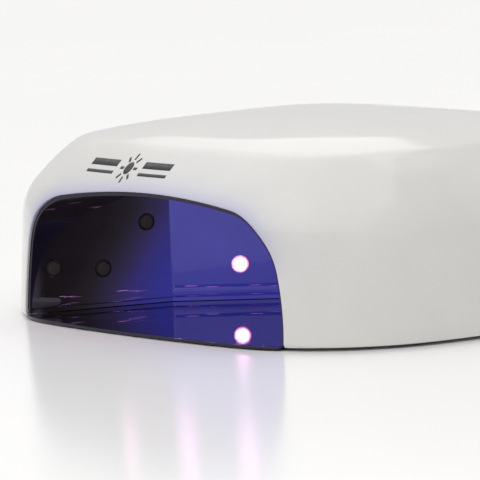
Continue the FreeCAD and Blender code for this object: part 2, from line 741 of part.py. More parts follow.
# plans of boards and fins: left edge, front edge, width, depth
ROOF_BOARD_PLAN = ("-52", "-97", "104", "82")
SINK_PLAN = ("-48", "-90", "96", "68")
FIN_PLAN = ("-48", "-84", "1.2", "58")
SINK_THICKNESS = 2
FIN_HEIGHT = 7
FIN_COUNT = 13
FIN_SPREAD = 94.8           # distance from the first fin to the last


def make_roof_bank():
    """The lights in the cavity's roof, on one flat board."""
    lenses, emitters = [], []
    for x, y in ROOF_LIGHTS:
        seat = Vector(x, y, ROOF_BOARD)
        tip_length = ROOF_BOARD - roof_height(x) + size.lens_stand
        lenses.append(placed(lens_shape(tip_length), seat, Vector(0, 0, -1)))
        emitters.append(emitter(seat, Vector(0, 0, -1)))
    feature("roof_lenses", Part.makeCompound(lenses))
    group("roof_emitters", emitters)
    body = new_body("roof_lamp_board")
    sketch = new_sketch(body, "roof_board_outline", f"{ROOF_BOARD}")
    add_rectangle(sketch, *ROOF_BOARD_PLAN)
    pad(body, sketch, "Sizes.lamp_board_thickness")
    keep("roof_lamp_board", body)


def make_heat_sink():
    """The finned plate that cools the roof board."""
    base_height = ROOF_BOARD + size.lamp_board_thickness
    body = new_body("roof_heat_sink")
    plate = new_sketch(body, "sink_plate", f"{base_height}")
    add_rectangle(plate, *SINK_PLAN)
    pad(body, plate, f"{SINK_THICKNESS}")
    fin = new_sketch(body, "sink_fin", f"{base_height + SINK_THICKNESS}")
    add_rectangle(fin, *FIN_PLAN)
    fin_pad = pad(body, fin, f"{FIN_HEIGHT}")
    pattern = body.newObject("PartDesign::LinearPattern", "sink_fins")
    pattern.Originals = [fin_pad]
    pattern.Direction = (origin_plane(body, "X_Axis"), [""])
    pattern.Length = FIN_SPREAD
    pattern.Occurrences = FIN_COUNT
    body.Tip = pattern
    keep("roof_heat_sink", body)


# ------------------------------------------------------------------ base

FOOT_POINTS = [(112, -58), (-112, -58), (104, 58), (-104, 58)]
MAGNET_POINTS = [flange_point(LEFT_SIDE, 52), flange_point(RIGHT_SIDE, 52),
                 flange_point(LEFT_CORNER, 54), flange_point(RIGHT_CORNER, 54)]
MAGNET_RADIUS = 3
MAGNET_THICKNESS = 1.9
FOOT_RECESS = 1
FOOT_ROUND = 0.6
HEAD_RECESS = 1.4           # thickness of the frame left over the heads of the housing screws
RIB_HEIGHT = 4
RIB_OUTSIDE = 0.5           # how far the rib lies inside the frame's outline
RIB_INSIDE = 2.5
POST_RADIUS = 3.5
WINDOW_GAP = 0.2            # gap between the frame and the liner
MOUTH_MARGIN = 3            # how far the cut for the mouth reaches past the cavity
MOUTH_STEP = 4              # how far that cut reaches behind the mouth


def make_base_frame():
    """The plate that closes the underside round the cavity."""
    outline = Part.Face(plan_wire(size.shell_wall + size.frame_clearance, size.frame_bottom))
    plate = outline.extrude(Vector(0, 0, size.frame_thickness))
    window = cavity_prism(size.liner_wall + WINDOW_GAP, 0, FRAME_TOP + 1)
    mouth_half = size.cavity_mouth_half + MOUTH_MARGIN
    mouth_top = FRAME_TOP + RIB_HEIGHT + 1
    mouth = box(-mouth_half, mouth_half, FRONT - 1, MOUTH_Y + MOUTH_STEP, 0, mouth_top)
    edge_inset = size.shell_wall + size.frame_clearance
    rib_outer = Part.Face(plan_wire(edge_inset + RIB_OUTSIDE, FRAME_TOP))
    rib_inner = Part.Face(plan_wire(edge_inset + RIB_INSIDE, FRAME_TOP))
    rib = rib_outer.extrude(Vector(0, 0, RIB_HEIGHT)).cut(rib_inner.extrude(Vector(0, 0, RIB_HEIGHT)))
    post_height = POWER_BOARD_BOTTOM - FRAME_TOP
    posts = [rod(POST_RADIUS, Vector(x, y, FRAME_TOP), post_height) for x, y in POWER_SCREWS]
    frame = plate.fuse([rib] + posts).cut(window).cut(mouth)
    cuts = [rod(size.screw_shank + 0.2, Vector(x, y, 0), FRAME_TOP + 1) for x, y in BOSS_POINTS]
    cuts += [rod(size.screw_head + 0.3, Vector(x, y, 0), size.frame_bottom + HEAD_RECESS)
             for x, y in BOSS_POINTS]
    cuts += [rod(size.foot_radius + 0.1, Vector(x, y, 0), size.frame_bottom + FOOT_RECESS)
             for x, y in FOOT_POINTS]
    cuts += [rod(MAGNET_RADIUS + 0.05, Vector(x, y, 0), FRAME_TOP - 0.5) for x, y in MAGNET_POINTS]
    cuts += [rod(PILOT_RADIUS, Vector(x, y, size.frame_bottom + 0.5), 5) for x, y in LINER_SCREWS]
    cuts += [rod(PILOT_RADIUS, Vector(x, y, FRAME_TOP), 8) for x, y in POWER_SCREWS]
    cuts += vent_slots()
    for tool in cuts:
        frame = frame.cut(tool)
    return feature("base_frame", frame.removeSplitter())


VENT_COUNT = 6              # slots on each side
VENT_FIRST = 66             # distance of the first slot from the middle
VENT_PITCH = 5
VENT_HALF = 1.2             # half width of a slot
VENT_FRONT = 28
VENT_REAR = 56


def vent_slots():
    """Cooling slots through the base frame, either side of the power board."""
    slots = []
    for side in (-1, 1):
        for index in range(VENT_COUNT):
            middle = side * (VENT_FIRST + VENT_PITCH * index)
            slots.append(box(middle - VENT_HALF, middle + VENT_HALF, VENT_FRONT, VENT_REAR, 0, FRAME_TOP + 1))
    return slots


def tray_plan():
    """Plan of the loose floor: the shell's front arc, straight sides and a tapered rear."""
    front = Part.Face(plan_wire(0, size.tray_bottom))
    rear_y = REAR_Y + 7
    half = [(size.tray_half, FRONT - 5), (size.tray_half, CORNER_Y - 14),
            (size.cavity_corner_half + 7, CORNER_Y + 3), (size.cavity_rear_half + 3, rear_y)]
    outline = half + [(-x, y) for x, y in half[::-1]]
    taper = polygon_prism(outline, size.tray_bottom, size.tray_bottom + size.tray_thickness)
    return front.extrude(Vector(0, 0, size.tray_thickness)).common(taper)


TRAY_PADS = [(-48, FRONT + 7), (0, FRONT + 5), (48, FRONT + 7), (-46, CORNER_Y + 8), (46, CORNER_Y + 8)]
TRAY_PAD_RADIUS = 4


def make_tray():
    """The loose mirror floor and the thin rubber pads under it."""
    feature("base_tray", tray_plan())
    group("tray_pads", [cylinder(TRAY_PAD_RADIUS, "Sizes.tray_bottom", (x, y, 0)) for x, y in TRAY_PADS])


def make_feet():
    """Round rubber feet with a rounded lower edge."""
    feet = []
    for x, y in FOOT_POINTS:
        blank = cylinder("Sizes.foot_radius", f"Sizes.frame_bottom + {FOOT_RECESS}", (x, y, 0))
        doc.recompute()
        low = [k for k, e in enumerate(blank.Shape.Edges, start=1) if e.BoundBox.ZMax < 1e-6]
        foot = doc.addObject("Part::Fillet", "foot")
        foot.Base = blank
        foot.Edges = [(low[0], FOOT_ROUND, FOOT_ROUND)]
        feet.append(foot)
    group("rubber_feet", feet)


def make_magnets():
    """Magnets in the base frame that hold the tray."""
    low = "Sizes.frame_bottom"
    magnets = [cylinder(MAGNET_RADIUS, MAGNET_THICKNESS, (x, y, low)) for x, y in MAGNET_POINTS]
    group("tray_magnets", magnets)


SCREW_HEAD_HEIGHT = 1.8
SLOT_DEPTH = 0.7
SLOT_LENGTH = 6
SLOT_WIDTH = 0.7
HOUSING_SCREW = 10          # shank lengths
LINER_SCREW = 3.2
CONTROL_SCREW = 6
POWER_SCREW = 5


def screw(x, y, seat, length, upwards):
    """A slotted pan-head screw whose head rests on a face at height seat."""
    head_low = f"{seat} - {SCREW_HEAD_HEIGHT}" if upwards else seat
    shank_low = seat if upwards else f"{seat} - {length}"
    end = f"{seat} - {SCREW_HEAD_HEIGHT}" if upwards else f"{seat} + {SCREW_HEAD_HEIGHT}"
    head = cylinder("Sizes.screw_head", SCREW_HEAD_HEIGHT, (x, y, head_low))
    shank = cylinder("Sizes.screw_shank", length, (x, y, shank_low))
    slot_corner = (x - SLOT_LENGTH / 2, y - SLOT_WIDTH / 2, f"{end} - {SLOT_DEPTH}")
    slot = cuboid(slot_corner, (SLOT_LENGTH, SLOT_WIDTH, 2 * SLOT_DEPTH))
    return less(merged([head, shank]), slot)


def make_screws():
    """The four sets of screws."""
    seat = f"Sizes.frame_bottom + {HEAD_RECESS}"
    group("housing_screws", [screw(x, y, seat, HOUSING_SCREW, True) for x, y in BOSS_POINTS])
    seat = "Sizes.frame_bottom + Sizes.frame_thickness + Sizes.flange_thickness"
    group("liner_screws", [screw(x, y, seat, LINER_SCREW, False) for x, y in LINER_SCREWS])
    seat = "Sizes.control_board_top - Sizes.board_thickness"
    group("control_board_screws", [screw(x, y, seat, CONTROL_SCREW, True) for x, y in BOARD_BOSS_POINTS])
    seat = f"{POWER_BOARD_BOTTOM} + Sizes.board_thickness"
    group("power_board_screws", [screw(x, y, seat, POWER_SCREW, False) for x, y in POWER_SCREWS])


# ------------------------------------------------------------------ electronics

POWER_BOARD_BOTTOM = 9.5
POWER_SCREWS = [(50, 30), (-50, 30), (50, 84), (-50, 84)]
CONTROL_BOARD_PLAN = ("-42", "51", "84", "36")      # left edge, front edge, width, depth
POWER_BOARD_PLAN = ("-56", "24", "112", "66")
SWITCH_BODY = 6             # side of a timer switch's square body
SWITCH_BODY_HEIGHT = 3.5
PLUNGER_RADIUS = 1.7
PLUNGER_SINK = 2            # height of a plunger's lower end over the board
PLUNGER_PROUD = 1.3         # how far a plunger stands out of its switch
BORE_FLOOR = 0.8            # thickness of the switch under its bore
TIMER_LIGHT = (1.6, 0.8, 0.7)
CAPACITOR_RADIUS = 6.3
CAPACITOR_HEIGHT = 20
CAPACITOR_POINTS = [(-36, 44), (-36, 62), (-20, 44)]
INDUCTOR_SIDE = 16
INDUCTOR_HEIGHT = 12
CONNECTOR = (10, 6, 7)
CONNECTOR_XS = (-12, 8, 28)


def make_control_board():
    """The board under the crown that carries the timer switches."""
    body = new_body("control_board")
    sketch = new_sketch(body, "control_board_outline", "Sizes.control_board_top - Sizes.board_thickness")
    add_rectangle(sketch, *CONTROL_BOARD_PLAN)
    pad(body, sketch, "Sizes.board_thickness")
    doc.recompute()
    holes = new_sketch(body, "control_board_holes", "Sizes.control_board_top - Sizes.board_thickness")
    for x, y in BOARD_BOSS_POINTS:
        add_circle(holes, f"{x}", f"{y}", "Sizes.screw_shank + 0.2")
    pocket_up(body, holes, "Sizes.board_thickness + 1")
    keep("control_board", body)

    top = "Sizes.control_board_top"
    switches = []
    for x in BUTTON_XS:
        corner = (x - SWITCH_BODY / 2, f"Sizes.button_back - {SWITCH_BODY / 2}", top)
        case = cuboid(corner, (SWITCH_BODY, SWITCH_BODY, SWITCH_BODY_HEIGHT))
        bore_foot = (x, "Sizes.button_back", f"{top} + {BORE_FLOOR}")
        bore = cylinder(PLUNGER_RADIUS + 0.15, SWITCH_BODY_HEIGHT, bore_foot)
        switches.append(less(case, bore))
    group("timer_switches", switches)
    chips = [cuboid((7, 58, top), (10, 10, 1.2)), cuboid((-17, 53, top), (12, 4, 2.5))]
    length, width, _ = TIMER_LIGHT
    chips += [cuboid((x - length / 2, LIGHT_PIPE_BACK - width / 2, top), TIMER_LIGHT) for x in BUTTON_XS]
    group("control_components", chips)


def make_power_board():
    """The driver board on the base frame's posts."""
    body = new_body("power_board")
    sketch = new_sketch(body, "power_board_outline", f"{POWER_BOARD_BOTTOM}")
    add_rectangle(sketch, *POWER_BOARD_PLAN)
    pad(body, sketch, "Sizes.board_thickness")
    doc.recompute()
    holes = new_sketch(body, "power_board_holes", f"{POWER_BOARD_BOTTOM}")
    for x, y in POWER_SCREWS:
        add_circle(holes, f"{x}", f"{y}", "Sizes.screw_shank + 0.2")
    pocket_up(body, holes, "Sizes.board_thickness + 1")
    keep("power_board", body)

    top = f"{POWER_BOARD_BOTTOM} + Sizes.board_thickness"
    capacitors = [cylinder(CAPACITOR_RADIUS, CAPACITOR_HEIGHT, (x, y, top)) for x, y in CAPACITOR_POINTS]
    group("power_capacitors", capacitors)
    block = (INDUCTOR_SIDE, INDUCTOR_SIDE, INDUCTOR_HEIGHT)
    group("power_inductors", [cuboid((x - INDUCTOR_SIDE / 2, 38, top), block) for x in (4, 26)])
    group("board_connectors", [cuboid((x - CONNECTOR[0] / 2, 64, top), CONNECTOR) for x in CONNECTOR_XS])


BUTTON_SEAT = 78.6          # underside of each button's flange over the table
BUTTON_FLANGE = 1.4         # thickness of the flange, and how far it stands out from the cap
BUTTON_STEM_RADIUS = 2.2
CAP_BLANK = 14              # length of the cylinder that the crown's form trims to a cap
LIGHT_PIPE_RADIUS = 1.2
LIGHT_PIPE_BLANK = 20       # length of the cylinder that the crown's form trims to a light pipe
LIGHT_PIPE_FOOT = 1.3       # height of a light pipe's foot over the control board
LIGHT_PIPE_SINK = 0.1       # how far a light pipe lies under the crown


def form_under_crown(inset):
    """A document object that holds the shell's form, moved inwards."""
    form = doc.addObject("Part::Feature", "form_under_crown")
    form.Shape = shell_form(inset)
    form.Placement = Placement()
    return form


def make_timer_buttons():
    """Each timer button with its stem, and the switch plunger that it pushes."""
    under_crown = form_under_crown(size.button_sink)
    plunger_foot = f"Sizes.control_board_top + {PLUNGER_SINK}"
    plunger_top = SWITCH_BODY_HEIGHT + PLUNGER_PROUD
    stem_foot = f"Sizes.control_board_top + {plunger_top}"
    for index, x in enumerate(BUTTON_XS, start=1):
        back = "Sizes.button_back"
        seat = (x, back, BUTTON_SEAT)
        cap = shared(cylinder("Sizes.button_radius", CAP_BLANK, seat), under_crown)
        flange = cylinder(f"Sizes.button_radius + {BUTTON_FLANGE}", BUTTON_FLANGE, seat)
        stem = cylinder(BUTTON_STEM_RADIUS, f"{BUTTON_SEAT} - ({stem_foot})", (x, back, stem_foot))
        keep(f"timer_button_{index}", merged([cap, flange, stem]))
        plunger = cylinder(PLUNGER_RADIUS, plunger_top - PLUNGER_SINK, (x, back, plunger_foot))
        keep(f"switch_plunger_{index}", plunger)


def make_light_pipes():
    """The clear rods that bring the timer lights up to the crown."""
    under_crown = form_under_crown(LIGHT_PIPE_SINK)
    foot = f"Sizes.control_board_top + {LIGHT_PIPE_FOOT}"
    pipes = [cylinder(LIGHT_PIPE_RADIUS, LIGHT_PIPE_BLANK, (x, LIGHT_PIPE_BACK, foot)) for x in BUTTON_XS]
    group("timer_light_pipes", [shared(pipe, under_crown) for pipe in pipes])


# ------------------------------------------------------------------ rear panel

ROCKER_HALF = 8.2       # half length of the rocker
ROCKER_HALF_WIDTH = 5.2
ROCKER_PIVOT_Y = size.recess_floor - 0.5
PIVOT_RADIUS = 0.8
PIVOT_HALF = 6.1        # half length of the pivot
CASE_DEPTH = 15
BEZEL = (22, 1.5, 16)           # length, thickness and height of the switch's rim
APERTURE = (17.8, 10, 11)       # length, depth and height of the opening round the rocker
APERTURE_FLOOR = 8              # how far the opening reaches into the recess's floor
BLADE = (0.8, 8, 4.8)
BLADE_OFFSETS = (-5, 5)


def make_power_switch():
    """The rocker switch: its case, pivot, rocker and blades."""
    x, z = -size.switch_offset, size.panel_centre
    width, height = SWITCH_CASE_HALF, SWITCH_CASE_HALF_HEIGHT

    def centred(sides, back):
        corner = (x - sides[0] / 2, f"Sizes.recess_floor - {back}", z - sides[2] / 2)
        return cuboid(corner, sides)

    case = centred((2 * width, CASE_DEPTH, 2 * height), CASE_DEPTH)
    bezel = centred(BEZEL, 0)
    aperture = centred(APERTURE, APERTURE_FLOOR)
    bearing_half = PIVOT_HALF + 0.1
    bearing_foot = (x, ROCKER_PIVOT_Y, z - bearing_half)
    bearing = cylinder(PIVOT_RADIUS + 0.02, 2 * bearing_half, bearing_foot)
    keep("power_switch_case", less(less(merged([case, bezel]), aperture), bearing))
    keep("rocker_pivot", cylinder(PIVOT_RADIUS, 2 * PIVOT_HALF, (x, ROCKER_PIVOT_Y, z - PIVOT_HALF)))

    outline = [(-ROCKER_HALF, -1.5), (-ROCKER_HALF, 3.6), (0, 2.6), (ROCKER_HALF, 3.6),
               (ROCKER_HALF, -1.5), (0, -4.5)]
    corners = [(x + u, ROCKER_PIVOT_Y + v) for u, v in outline]
    rocker = polygon_prism(corners, z - ROCKER_HALF_WIDTH, z + ROCKER_HALF_WIDTH)
    rocker = rocker.cut(rod(PIVOT_RADIUS + 0.05, Vector(*bearing_foot), 2 * bearing_half))
    rocker.rotate(Vector(x, ROCKER_PIVOT_Y, z), Vector(0, 0, 1), -size.rocker_tilt)
    feature("power_rocker", rocker)
    blade_y = f"Sizes.recess_floor - {CASE_DEPTH + BLADE[1]}"
    group("switch_blades", [cuboid((x + offset - BLADE[0] / 2, blade_y, z - BLADE[2] / 2), BLADE)
                            for offset in BLADE_OFFSETS])


TO_REAR = Rotation(Vector(1, 0, 0), -90)    # turns an upright cylinder to point along +Y
BARREL_FRONT, BARREL_REAR = 13, 3.7         # how far the barrel reaches either side of the recess's floor
COLLAR_RADIUS, COLLAR_LENGTH = 7.2, 2       # the collar that bears on the back of the panel
SOCKET_RADIUS, SOCKET_DEPTH = 3.1, 7
PIN_ROOT_RADIUS, PIN_ROOT_LENGTH = 1.6, 8   # the thicker root of the centre pin
PIN_TAG = 2                                 # how far the pin stands out behind the barrel
PIN_LENGTH = 9.7
NUT_RADIUS = 8                              # across the nut's corners, halved
NUT_THICKNESS = 2.4


def make_inlet():
    """The low-voltage inlet: barrel, nut, centre pin and tag."""
    x, z = "Sizes.inlet_offset", "Sizes.panel_centre"

    def along(radius, start, length):
        return cylinder(radius, length, (x, f"Sizes.recess_floor + ({start})", z), TO_REAR)

    barrel = along(BARREL_RADIUS, -BARREL_FRONT, BARREL_FRONT + BARREL_REAR)
    collar = along(COLLAR_RADIUS, f"-Sizes.shell_wall - {COLLAR_LENGTH}", COLLAR_LENGTH)
    socket = along(SOCKET_RADIUS, -SOCKET_DEPTH, SOCKET_DEPTH + PAST)
    pin_seat = along(PIN_ROOT_RADIUS, -BARREL_FRONT - 1, PIN_ROOT_LENGTH)
    keep("inlet_barrel", less(less(merged([barrel, collar]), socket), pin_seat))
    root = along(PIN_ROOT_RADIUS, -BARREL_FRONT - PIN_TAG, PIN_ROOT_LENGTH)
    pin = along("Sizes.inlet_pin_radius", -SOCKET_DEPTH, PIN_LENGTH)
    keep("inlet_centre_pin", merged([root, pin]))
    blank = doc.addObject("Part::Prism", "nut_blank")
    blank.Polygon = 6
    blank.Circumradius = NUT_RADIUS
    blank.Height = NUT_THICKNESS
    put(blank, (x, "Sizes.recess_floor", z), TO_REAR)
    keep("inlet_nut", less(blank, along(BARREL_RADIUS + 0.05, -1, NUT_THICKNESS + 2)))


WIRE_RADIUS = 0.8
BEND_SHARE = 0.45       # how much of the shorter run beside a corner its arc takes up


def wire_tube(points):
    """A round wire along straight runs joined by tangent arcs."""
    corners = [Vector(*p) for p in points]
    edges, previous = [], corners[0]
    for before, corner, after in zip(corners, corners[1:], corners[2:]):
        towards = (before - corner).normalize()
        onwards = (after - corner).normalize()
        half_turn = (math.pi - towards.getAngle(onwards)) / 2
        trim = BEND_SHARE * min((before - corner).Length, (after - corner).Length)
        radius = trim / math.tan(half_turn)
        start, end = corner + towards * trim, corner + onwards * trim
        bisector = (towards + onwards).normalize()
        middle = corner + bisector * (radius / math.cos(half_turn) - radius)
        edges += [line(previous, start), arc(start, middle, end)]
        previous = end
    edges.append(line(previous, corners[-1]))
    section = Part.Wire(Part.makeCircle(WIRE_RADIUS, corners[0], corners[1] - corners[0]))
    return Part.Wire(edges).makePipeShell([section], True, False)


def make_wires():
    """The leads held inside the shell."""
    floor, z = size.recess_floor, size.panel_centre
    board_top = POWER_BOARD_BOTTOM + size.board_thickness + CONNECTOR[2] + SOLDER_GAP
    inlet = [
        [(22, floor - 15.2, z), (22, 90, z), (28, 78, z + 6), (28, 67, z + 5), (28, 67, board_top)],
        [(-15, floor - 23.2, z), (-15, 82, z), (-8, 76, z + 6), (8, 67, z + 5), (8, 67, board_top)],
    ]
    feature("inlet_leads", Part.makeCompound([wire_tube(route) for route in inlet]))


# ------------------------------------------------------------------ the assembly

make_upper_housing()
make_reflector_liner()
for bank, (panel, lights, board) in BANKS.items():
    make_bank(bank, panel, lights, board)
make_roof_bank()
make_heat_sink()
make_base_frame()
make_tray()
make_feet()
make_magnets()
make_screws()
make_control_board()
make_power_board()
make_timer_buttons()
make_light_pipes()
make_power_switch()
make_inlet()
make_wires()
doc.recompute()

for obj in doc.Objects:
    if "Invalid" in obj.State or "Error" in obj.State:
        raise RuntimeError(f"{obj.Label} failed: {obj.State}")
for piece in pieces:
    if piece.Shape.isNull() or not piece.Shape.isValid():
        raise RuntimeError(f"{piece.Label} has no valid shape")

os.makedirs("parts", exist_ok=True)
for piece in pieces:
    piece.Shape.exportStep(os.path.join("parts", f"{piece.Label}.step"))
print(f"{len(pieces)} pieces written")
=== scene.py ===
import json
from math import atan2, cos, degrees, exp, hypot, pi, radians, sin, sqrt, tan

import bmesh
import bpy
import numpy as np
from mathutils import Matrix, Vector


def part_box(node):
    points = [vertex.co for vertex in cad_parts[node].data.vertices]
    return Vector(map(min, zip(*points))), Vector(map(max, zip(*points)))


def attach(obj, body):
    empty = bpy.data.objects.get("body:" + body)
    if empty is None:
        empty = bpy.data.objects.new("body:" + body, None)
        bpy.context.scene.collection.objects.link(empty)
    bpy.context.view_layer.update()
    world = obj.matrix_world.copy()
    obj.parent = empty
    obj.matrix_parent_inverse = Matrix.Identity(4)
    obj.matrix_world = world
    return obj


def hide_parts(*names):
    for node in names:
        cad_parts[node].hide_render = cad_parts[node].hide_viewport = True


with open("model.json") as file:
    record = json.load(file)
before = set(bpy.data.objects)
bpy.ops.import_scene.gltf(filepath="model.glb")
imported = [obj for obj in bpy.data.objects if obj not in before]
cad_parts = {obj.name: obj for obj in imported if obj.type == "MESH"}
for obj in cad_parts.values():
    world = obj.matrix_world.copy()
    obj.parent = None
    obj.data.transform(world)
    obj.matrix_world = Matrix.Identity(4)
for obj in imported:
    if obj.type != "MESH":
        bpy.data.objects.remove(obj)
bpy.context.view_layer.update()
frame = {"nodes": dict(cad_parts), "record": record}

MM = 0.001


# -------- helpers

def colour(red, green, blue):
    """An sRGB colour from 0 to 255 as linear RGBA."""
    def linear(c):
        c /= 255
        return c / 12.92 if c <= 0.04045 else ((c + 0.055) / 1.055) ** 2.4
    return linear(red), linear(green), linear(blue), 1.0


def smooth(obj, angle=35):
    """Smooth shading, with edges sharper than the angle kept crisp."""
    obj.data.shade_smooth()
    obj.data.set_sharp_from_angle(angle=radians(angle))
    return obj


def mesh_object(name, verts, faces, angle=35, merge=0.002):
    """A mesh from points in millimetres, welded, with its faces turned outwards."""
    mesh = bpy.data.meshes.new(name)
    mesh.from_pydata([tuple(c * MM for c in v) for v in verts], [], faces)
    bm = bmesh.new()
    bm.from_mesh(mesh)
    bmesh.ops.remove_doubles(bm, verts=bm.verts, dist=merge * MM)
    bmesh.ops.dissolve_degenerate(bm, edges=bm.edges, dist=merge * MM * 0.5)
    bmesh.ops.recalc_face_normals(bm, faces=bm.faces)
    bm.to_mesh(mesh)
    bm.free()
    obj = bpy.data.objects.new(name, mesh)
    bpy.context.scene.collection.objects.link(obj)
    return smooth(obj, angle)


def apply_modifiers(obj):
    """Replace an object's mesh by the result of its modifiers."""
    bpy.context.view_layer.update()
    evaluated = obj.evaluated_get(bpy.context.evaluated_depsgraph_get())
    made = bpy.data.meshes.new_from_object(evaluated)
    obj.modifiers.clear()
    obj.data = made
    return obj


def boolean(obj, operation, tools):
    """Add or cut solids, which are then removed."""
    for tool in tools:
        modifier = obj.modifiers.new("cut", "BOOLEAN")
        modifier.operation = operation
        modifier.solver = "EXACT"
        modifier.object = tool
    apply_modifiers(obj)
    for tool in tools:
        bpy.data.objects.remove(tool)


def bevel(obj, width, segments, angle):
    """Round the edges that are sharper than the angle, by a width in millimetres."""
    modifier = obj.modifiers.new("bevel", "BEVEL")
    modifier.width = width * MM
    modifier.segments = segments
    modifier.limit_method = "ANGLE"
    modifier.angle_limit = radians(angle)


def lathe(name, profile, centre, axis=(0, 0, 1), segments=64, angle=35):
    """A closed solid of revolution from (radius, height) points along an axis."""
    verts, faces = [], []
    count = len(profile)
    turn = Vector(axis).to_track_quat("Z", "Y").to_matrix()
    for k in range(segments):
        a = 2 * pi * k / segments
        for radius, height in profile:
            p = turn @ Vector((radius * cos(a), radius * sin(a), height))
            verts.append(p + Vector(centre))
    for k in range(segments):
        n = (k + 1) % segments
        for i in range(count):
            j = (i + 1) % count
            faces.append((k * count + i, k * count + j, n * count + j, n * count + i))
    return mesh_object(name, verts, faces, angle)


def rod(radius, low, high):
    """A cylinder's profile for lathe."""
    return [(0, low), (radius, low), (radius, high), (0, high)]


def turns(start, stop, steps):
    """Angles from start to stop, which are in degrees, in radians."""
    return [radians(start + (stop - start) * k / steps) for k in range(steps + 1)]


def rings(count, n):
    """The faces between rings of n points each, closed at both ends."""
    faces = []
    for r in range(count - 1):
        for k in range(n):
            j = (k + 1) % n
            faces.append((r * n + k, r * n + j, (r + 1) * n + j, (r + 1) * n + k))
    return faces + [tuple(range(n))[::-1], tuple(range((count - 1) * n, count * n))]


def rounded_box(name, low, high, radius, steps):
    """A box with rounded corners in its outline across Y."""
    (x0, y0, z0), (x1, y1, z1) = low, high
    corners = [(x1 - radius, z1 - radius, 0), (x0 + radius, z1 - radius, 90),
               (x0 + radius, z0 + radius, 180), (x1 - radius, z0 + radius, 270)]
    outline = []
    for x, z, start in corners:
        outline += [(x + radius * cos(t), z + radius * sin(t)) for t in turns(start, start + 90, steps)]
    verts = [(x, y, z) for y in (y0, y1) for x, z in outline]
    return mesh_object(name, verts, rings(2, len(outline)))


def join(name, parts):
    """Several objects as one."""
    target = parts[0]
    for part in parts:
        if part.modifiers:
            apply_modifiers(part)
    bm = bmesh.new()
    for part in parts:
        part.data.transform(part.matrix_world)
        bm.from_mesh(part.data)
    bm.to_mesh(target.data)
    bm.free()
    for part in parts[1:]:
        bpy.data.objects.remove(part)
    target.name = name
    return smooth(target)


def place(obj, body, slot, *replaced, finish=None):
    """Give a piece its finish and its body, and hide the nodes that it stands for."""
    obj.data.materials.clear()
    obj.data.materials.append(finish or FINISH[slot])
    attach(obj, body)
    if replaced:
        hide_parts(*replaced)


# -------- materials

NOISE_SPAN = (0.3, 0.7)  # the part of a noise's range that is spread over a result
NARROW_NOISE_SPAN = (0.35, 0.65)


class Tree:
    """A node tree under construction."""

    def __init__(self, tree):
        self.nodes, self.links = tree.nodes, tree.links

    def feed(self, target, value):
        if hasattr(value, "is_linked"):
            self.links.new(value, target)
        else:
            target.default_value = value

    def node(self, kind, inputs=None, **settings):
        made = self.nodes.new("ShaderNode" + kind)
        for key, value in settings.items():
            setattr(made, key, value)
        for key, value in (inputs or {}).items():
            self.feed(made.inputs[key], value)
        return made

    def math(self, operation, a, b=0.0):
        return self.node("Math", {0: a, 1: b}, operation=operation).outputs[0]

    def add(self, *values):
        total = values[0]
        for value in values[1:]:
            total = self.math("ADD", total, value)
        return total

    def times(self, *values):
        total = values[0]
        for value in values[1:]:
            total = self.math("MULTIPLY", total, value)
        return total

    def dot(self, vector, direction):
        made = self.node("VectorMath", {0: vector, 1: tuple(direction)}, operation="DOT_PRODUCT")
        return made.outputs["Value"]

    def upward(self):
        """How far the face's normal points up, from -1 to 1."""
        return self.dot(self.node("NewGeometry").outputs["True Normal"], (0, 0, 1))

    def span(self, value, low, high, start=0.0, end=1.0, smooth_step=True):
        kind = "SMOOTHSTEP" if smooth_step else "LINEAR"
        made = self.node("MapRange", {"Value": value, "From Min": low, "From Max": high,
                                      "To Min": start, "To Max": end}, interpolation_type=kind)
        return made.outputs[0]

    def mix(self, factor, a, b):
        return self.node("Mix", {0: factor, 6: a, 7: b}, data_type="RGBA").outputs[2]

    def ramp(self, value, low, high, stops):
        """A colour for a value, from (value, colour) stops between low and high."""
        made = self.node("ValToRGB", {"Fac": self.span(value, low, high, smooth_step=False)})
        elements = made.color_ramp.elements
        while len(elements) < len(stops):
            elements.new(0.5)
        for element, (at, tint) in zip(elements, stops):
            element.position = (at - low) / (high - low)
            element.color = tint
        return made.outputs["Color"]


class Look(Tree):
    """A procedural material under construction."""

    def __init__(self, name, base, roughness=0.4, metallic=0.0, **sockets):
        self.material = bpy.data.materials.new(name)
        self.material.use_nodes = True
        super().__init__(self.material.node_tree)
        self.shader = self.nodes["Principled BSDF"]
        self.set("Base Color", base)
        self.set("Roughness", roughness)
        self.set("Metallic", metallic)
        for key, value in sockets.items():
            self.set(key.replace("_", " "), value)
        self.coordinates = self.nodes.new("ShaderNodeTexCoord").outputs["Object"]

    def set(self, socket, value):
        self.feed(self.shader.inputs[socket], value)

    def noise(self, scale, detail=3.0, stretch=None):
        place_at = self.coordinates
        if stretch:
            place_at = self.node("Mapping", {"Vector": place_at, "Scale": stretch}).outputs[0]
        made = self.node("TexNoise", {"Vector": place_at, "Scale": scale, "Detail": detail})
        return made.outputs["Fac"]

    def vary(self, base, other, scale):
        """Base colour that wanders between two colours."""
        self.set("Base Color", self.mix(self.span(self.noise(scale), *NARROW_NOISE_SPAN), base, other))

    def rough(self, low, high, scale, stretch=None):
        """Roughness that wanders between two values."""
        self.set("Roughness", self.span(self.noise(scale, 2.0, stretch), *NOISE_SPAN, low, high))

    def bump(self, height, strength, distance):
        made = self.node("Bump", {"Height": height, "Strength": strength, "Distance": distance})
        self.set("Normal", made.outputs[0])

    def grain(self, scale, strength, stretch=None):
        self.bump(self.noise(scale, 4.0, stretch), strength, 0.0001)


# -------- the shell's form, in millimetres

